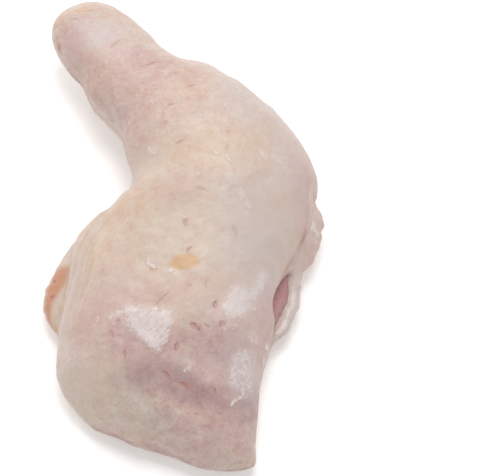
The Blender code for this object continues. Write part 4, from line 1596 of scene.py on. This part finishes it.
        # Above 0.5 on ridges and below it in furrows; the colour paints these as highlight and shade.
        ridge_light_share = np.clip(0.5 + 0.5 * drawn, 0, 1)
        lift = drawn + rel.lump * ripple(xyz, rel.lump_length, 71) + rel.dimple * ripple(xyz, rel.dimple_length, 72)
        lift = lift + rel.grain * ripple(xyz, rel.grain_length, 73, 30)
        wrinkled = self._veins(grid) * (0.6 + 0.4 * ripple(xyz, 12.0, 74))
        lift = lift + rel.streak * rel.streaks(xyz, 75) * wrinkled
        lift = lift + rel.knob_wrinkle * rel.wrinkles(xyz)
        frost = np.clip(tones[Tone.FROST_AND_HIGHLIGHT], 0, 1)
        lift = lift + rel.frost * step(frost, 0.35, 0.8) * (0.6 + 0.5 * ripple(xyz, 1.9, 77, 30))
        hem = np.exp(-grid.to_hem / 9.0)
        lift = lift + rel.hem_wave * hem * np.sin(xyz[..., 0] / 4.3 + 1.2) * 0.6
        lift = lift - 0.8 * hem * bell(xyz[..., 0] + 9.0, 6.0)
        drawn_fat = np.stack([xyz[..., 0], xyz[..., 1] / 3.0, xyz[..., 2]], -1)
        lift = lift + 0.2 * self._tag_fat(grid) * ripple(drawn_fat, 3.0, 78) + 0.4 * self._tag(grid)
        flap = self._flap(grid)
        lift = lift + 0.7 * flap["flap"] + 0.35 * flap["lobe"] - 0.3 * flap["crease"]
        lift = lift + 0.15 * (flap["lobe"] + flap["flap"]) * ripple(xyz, 4.2, 79)
        filled = np.where(grid.side > 0, 1.0, 0.0) * np.clip(grid.lip_push, 0, None) * upper
        filled = filled * (1 - step(self.windows.slit(grid), -1.6, 0.2))
        lift = lift + 0.38 * filled * bell(grid.lip - self.form.crease_above, self.form.crease_half)
        return lift, ridge_light_share

    def _nudged(self, grid: LoftGrid, normal: np.ndarray) -> np.ndarray:
        """Level shifts of the outline: each nudge moves what is near it straight out from the leg, or in.

        The way out is the mean of the level parts of the normals near the nudge's middle.

        Args:
            grid: the skin's grid.
            normal: outward unit normals of the grid.

        Returns:
            The shift of each place in x, y and z.
        """
        shift = np.zeros_like(grid.xyz)
        for nudge in self.nudges:
            share = bell(np.hypot(grid.xyz[..., 0] - nudge.x, grid.xyz[..., 1] - nudge.y), nudge.reach)
            out = (normal[..., :2] * share[..., None]).sum(axis=(0, 1))
            shift[..., :2] += nudge.height * share[..., None] * out / np.linalg.norm(out)
        return shift

    def _folds(self, grid: LoftGrid, along: np.ndarray, across: np.ndarray) -> np.ndarray:
        """Share of the fine streaks beside the main fold, which the colour paints as highlight and shade: widest on
        its right, fading at both its ends.
        """
        ends = step(along, 0.0, 10.0) * step(along, 66.0, 46.0)
        return bell(across - 3.5, 6.5) * ends * np.where(grid.lower, 0.0, 1.0)

    def _marks(self, grid: LoftGrid, normal: np.ndarray) -> tuple[np.ndarray, ...]:
        """Places on the axes of the nearest mark, with its shade, and what the marks do to the skin round them.

        A mark lies on the tangent plane of the skin where its middle is. A place within 7 mm of it gets its
        distances along and across, in half lengths and half widths. The pit is a bell of those distances with
        a low rim round it.

        Args:
            grid: the skin's grid.
            normal: outward unit normals of the grid.

        Returns:
            The places with the shade, 1 close to a mark and 0 elsewhere, the blush round the marks, and the
            depth of the pits in millimetres.
        """
        near = np.full(grid.xyz.shape, 9.0)
        near[..., 2] = 0.0
        closest = np.full(grid.height.shape, 1e6)
        depth = np.zeros(grid.height.shape)
        close = np.zeros(grid.height.shape)
        halo = np.zeros(grid.height.shape)
        for middle, up, mark in self._placed_marks(grid, normal):
            angle = np.radians(mark.turn)
            heading = np.array([np.cos(angle), np.sin(angle), 0.0])
            if abs(up[2]) < 0.5:
                heading = np.array([0.0, np.cos(angle), np.sin(angle)])
            heading = heading - up * (heading @ up)
            heading = heading / np.linalg.norm(heading)
            beside = np.cross(up, heading)
            offset = grid.xyz - middle
            away = np.linalg.norm(offset, axis=2)
            u = offset @ heading / (mark.length * self.mark_stretch / 2)
            v = offset @ beside / (mark.width * self.mark_widening / 2)
            own = (away < 7.0) & (away < closest)
            closest = np.where(own, away, closest)
            for k, value in enumerate((u, v, np.full_like(u, mark.shade.value))):
                near[..., k] = np.where(own, value, near[..., k])
            ground = (np.abs(u) < 1.35 + 1.0 / mark.length) & (np.abs(v) < 1.35 + 1.0 / mark.width)
            strength = min(1.0, 0.45 + 1.3 * abs(mark.depth))
            close = np.where(own, np.where(ground, strength, 0.0), close)
            halo = np.maximum(halo, bell(away, mark.length / 2 + 0.9))
            size = np.sqrt(u**2 + v**2 * min(1.0, (mark.width / 1.5) ** 2))
            pit = bell(size, 0.95) - 0.35 * bell(size - 1.5, 0.5)
            depth = depth + np.where(away < 7.0, mark.depth * pit, 0.0)
        return near, close, halo, depth

    def _placed_marks(self, grid: LoftGrid, normal: np.ndarray):
        """Each mark with its place on the skin and the way out there: the named ones and the seeded ones."""
        upper = ~grid.lower[0]
        top, top_normal = grid.xyz[:, upper], normal[:, upper]
        for mark in self.marks:
            away = np.hypot(top[..., 0] - mark.x, top[..., 1] - mark.y)
            row, column = np.unravel_index(np.argmin(away), away.shape)
            middle = np.array([mark.x, mark.y, top[row, column, 2]])
            yield middle, top_normal[row, column], mark
        rng = np.random.default_rng(self.seed)
        free = (normal[..., 2] < 0.25) & (grid.to_hem > 8) & (grid.from_tip > 12)
        rows, columns = np.nonzero(free)
        for pick in rng.integers(0, len(rows), self.extra_marks):
            middle = grid.xyz[rows[pick], columns[pick]]
            shade = Shade.TAN if rng.random() < 0.4 else Shade.RED
            mark = Mark(middle[0], middle[1], rng.uniform(1.8, 3.6), rng.uniform(0.8, 1.6),
                        rng.uniform(-80, 80), shade, rng.uniform(0.1, 0.35))
            yield middle, normal[rows[pick], columns[pick]], mark


@dataclass
class Meat:
    """The thigh meat, as the leg's form a little further in, which shows through the windows of the skin."""

    form: LegForm
    windows: Windows
    finish: MeatFinish
    grid_plan: GridPlan = field(default_factory=lambda: GridPlan(200, 200))
    buried: float = 3.0
    open_inset: float = 1.1
    bundle_length: float = 17.0
    furrow_depth: float = 1.8

    def build(self, effects: Effects) -> bpy.types.Object:
        """Builds and dresses the piece.

        The inset is 3 mm under the skin and about 1 mm in the windows. Furrows between the muscles are where
        the cosine of the place across the muscles is near -1.

        Args:
            effects: the shared node groups.

        Returns:
            The finished piece.
        """
        grid = self.form.grid(self.grid_plan.along(self.form.length()), self.grid_plan.around(self.form))
        xyz = grid.xyz
        belly, slit = self.windows.belly(grid), self.windows.slit(grid)
        shows = np.maximum(step(belly, -2.5, 1.5), step(slit, -1.2, 0.6))
        across = xyz[..., 0] * 0.82 + xyz[..., 1] * 0.42 + 2.2 * ripple(xyz, 40.0, 81)
        wave = np.cos(2 * np.pi * across / self.bundle_length)
        furrow = step(wave, -0.55, -0.98) * step(belly, -1, 6)
        inset = self.buried - (self.buried - self.open_inset) * shows
        inset = inset + furrow * self.furrow_depth + 0.25 * ripple(xyz, 5.0, 82) * step(belly, -2.5, 1.5)
        points = close_ends(xyz - grid.normals() * inset[..., None])
        film = np.clip(bell(belly - 2.0, 2.5) + furrow * 0.9 + 0.45 * np.maximum(ripple(xyz, 14.0, 83) - 0.7, 0), 0, 1)
        film = np.maximum(film * step(slit, 0.3, -0.3), 0.5 * self.windows.slit_film(grid))
        # The third mask: a little painted shade deep in the slit.
        masks = {"flesh": np.stack([furrow * 0.5, film, step(slit, -0.8, 0.8) * 0.05], -1)}
        piece = make_piece("meat", points, masks, self.finish.build(effects))
        dress(piece)
        return piece


@dataclass
class HockGristle:
    """The two knuckles at the end of the hock, with the hollow between them."""

    form: LegForm
    windows: Windows
    finish: GristleFinish
    length: float = 20.0
    inset: float = 0.9
    end_round: float = 9.0
    rings: int = 60
    places: int = 96

    def build(self, effects: Effects) -> bpy.types.Object:
        """Builds and dresses the piece.

        It is the first 20 mm of the form, drawn in by 1 mm where it shows and 2.6 mm under the skin, and
        rounded off inside the leg by shrinking its last rings about their middle.

        Args:
            effects: the shared node groups.

        Returns:
            The finished piece.
        """
        along = self.length * (1 - np.cos(np.linspace(0, np.pi, self.rings))) / 2
        around = np.linspace(0, 2 * np.pi, self.places, endpoint=False)
        grid = self.form.grid(along, around)
        hock = self.windows.hock(grid)
        inset = self.inset + 1.7 * step(hock, 1.0, -1.5)
        points = grid.xyz - grid.normals() * inset[..., None]
        middle = points.mean(axis=1, keepdims=True)
        shrink = quarter_round(self.length - grid.from_tip, self.end_round)[..., None]
        points = middle + (points - middle) * shrink
        points[0] = points[0].mean(axis=0)
        hollow = bell(grid.side, 2.6) * step(grid.height - grid.edge, 4.0, 0.0)
        masks = {"flesh": np.stack([np.clip(hollow + bell(hock, 1.2) * 0.5, 0, 1), hollow, hollow], -1)}
        piece = make_piece("hock_gristle", points, masks, self.finish.build(effects))
        dress(piece)
        return piece


@dataclass
class Studio:
    """Plain pale floor, soft lights and the camera at the photograph's angle. Sizes here are metres."""

    elevation: float = 68.0
    distance: float = 0.90
    target: tuple[float, float, float] = (0.02159, -0.00569, 0.0225)
    lens: float = 173.08
    sensor: float = 36.0
    floor_size: float = 6.0
    floor_grey: float = 0.92
    floor_glow: float = 0.22
    world_strength: float = 0.57
    key_power: float = 7.0
    key_size: float = 0.5
    key_place: tuple[float, float, float] = (0.07, 0.30, 1.15)
    fill_power: float = 3.0
    fill_size: float = 0.7
    fill_place: tuple[float, float, float] = (-0.55, 0.78, 0.78)

    def build(self) -> None:
        """Builds the floor, the world, the lights and the camera."""
        self._floor()
        self._world()
        self._light("key_light", self.key_place, self.key_size, self.key_power)
        self._light("fill_light", self.fill_place, self.fill_size, self.fill_power)
        self._camera()
        bpy.context.scene.view_settings.view_transform = "Standard"

    def _floor(self) -> None:
        """A white square under the leg."""
        half = self.floor_size / 2
        mesh = bpy.data.meshes.new("floor")
        mesh.from_pydata([(-half, -half, 0), (half, -half, 0), (half, half, 0), (-half, half, 0)], [], [(0, 1, 2, 3)])
        material, nodes, shader = start_material("pale_floor")
        tone = nodes.ramp(nodes.noise(nodes.place(), 3.0), 0.3, 0.7)
        grey = self.floor_grey
        colour = nodes.blend(tone, (grey, grey, grey), (grey * 0.99, grey * 0.99, grey * 0.985))
        nodes.tree.links.new(colour, shader.inputs["Base Color"])
        shader.inputs["Roughness"].default_value = 0.9
        shader.inputs["Emission Color"].default_value = (1.0, 1.0, 1.0, 1.0)
        shader.inputs["Emission Strength"].default_value = self.floor_glow
        mesh.materials.append(material)
        floor = bpy.data.objects.new("floor", mesh)
        bpy.context.scene.collection.objects.link(floor)
        floor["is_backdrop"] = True

    def _world(self) -> None:
        """An even white surround."""
        world = bpy.data.worlds.new("studio")
        world.use_nodes = True
        surround = world.node_tree.nodes["Background"]
        surround.inputs["Color"].default_value = (1.0, 1.0, 1.0, 1.0)
        surround.inputs["Strength"].default_value = self.world_strength
        bpy.context.scene.world = world

    @staticmethod
    def _light(name: str, place: tuple[float, float, float], size: float, power: float) -> None:
        """A square light that points at the leg."""
        light = bpy.data.lights.new(name, "AREA")
        light.size = size
        light.energy = power
        lamp = bpy.data.objects.new(name, light)
        lamp.location = place
        lamp.rotation_euler = (-Vector(place)).to_track_quat("-Z", "Y").to_euler()
        bpy.context.scene.collection.objects.link(lamp)

    def _camera(self) -> None:
        """A long lens in front of the hem, looking down on the leg."""
        camera = bpy.data.cameras.new("camera")
        camera.lens = self.lens
        camera.sensor_width = self.sensor
        camera.clip_start, camera.clip_end = 0.01, 20.0
        rise = np.radians(self.elevation)
        target = Vector(self.target)
        offset = Vector((0.0, -np.cos(rise), np.sin(rise))) * self.distance
        holder = bpy.data.objects.new("camera", camera)
        holder.location = target + offset
        holder.rotation_euler = (-offset).to_track_quat("-Z", "Y").to_euler()
        bpy.context.scene.collection.objects.link(holder)
        bpy.context.scene.camera = holder


def fitted_form() -> LegForm:
    """The plain form, shifted so that its box at the part's own fineness lies on the node's box."""
    low, high = (np.array(corner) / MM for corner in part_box(NODE))
    plain = LegForm()
    along = plain.length() * (1 - np.cos(np.linspace(0, np.pi, 92))) / 2
    turn = np.linspace(0, 2 * np.pi, 56, endpoint=False)
    points = plain.grid(along, turn - 0.55 * np.sin(2 * turn) / 2).xyz.reshape(-1, 3)
    middle = (points.min(axis=0) + points.max(axis=0)) / 2
    shift = (low + high) / 2 - middle
    return LegForm(shift=(float(shift[0]), float(shift[1])), scallop=0.04)


def save_sizes() -> None:
    """Works out the box of the solids and the box of the dressed part, as plain lists."""
    boxes = {"cad": CAD_BOUNDS, "visual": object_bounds()}
    plain = {name: [[float(value) for value in corner] for corner in box] for name, box in boxes.items()}


def main() -> None:
    """Builds the pieces in order, then the studio."""
    logging.basicConfig(level=logging.INFO)
    form = fitted_form()
    windows = Windows()
    effects = Effects().build()
    Skin(form, windows, SkinFinish()).build(effects)
    Meat(form, windows, MeatFinish()).build(effects)
    HockGristle(form, windows, GristleFinish()).build(effects)
    Studio().build()
    save_sizes()


if __name__ == "__main__":
    main()
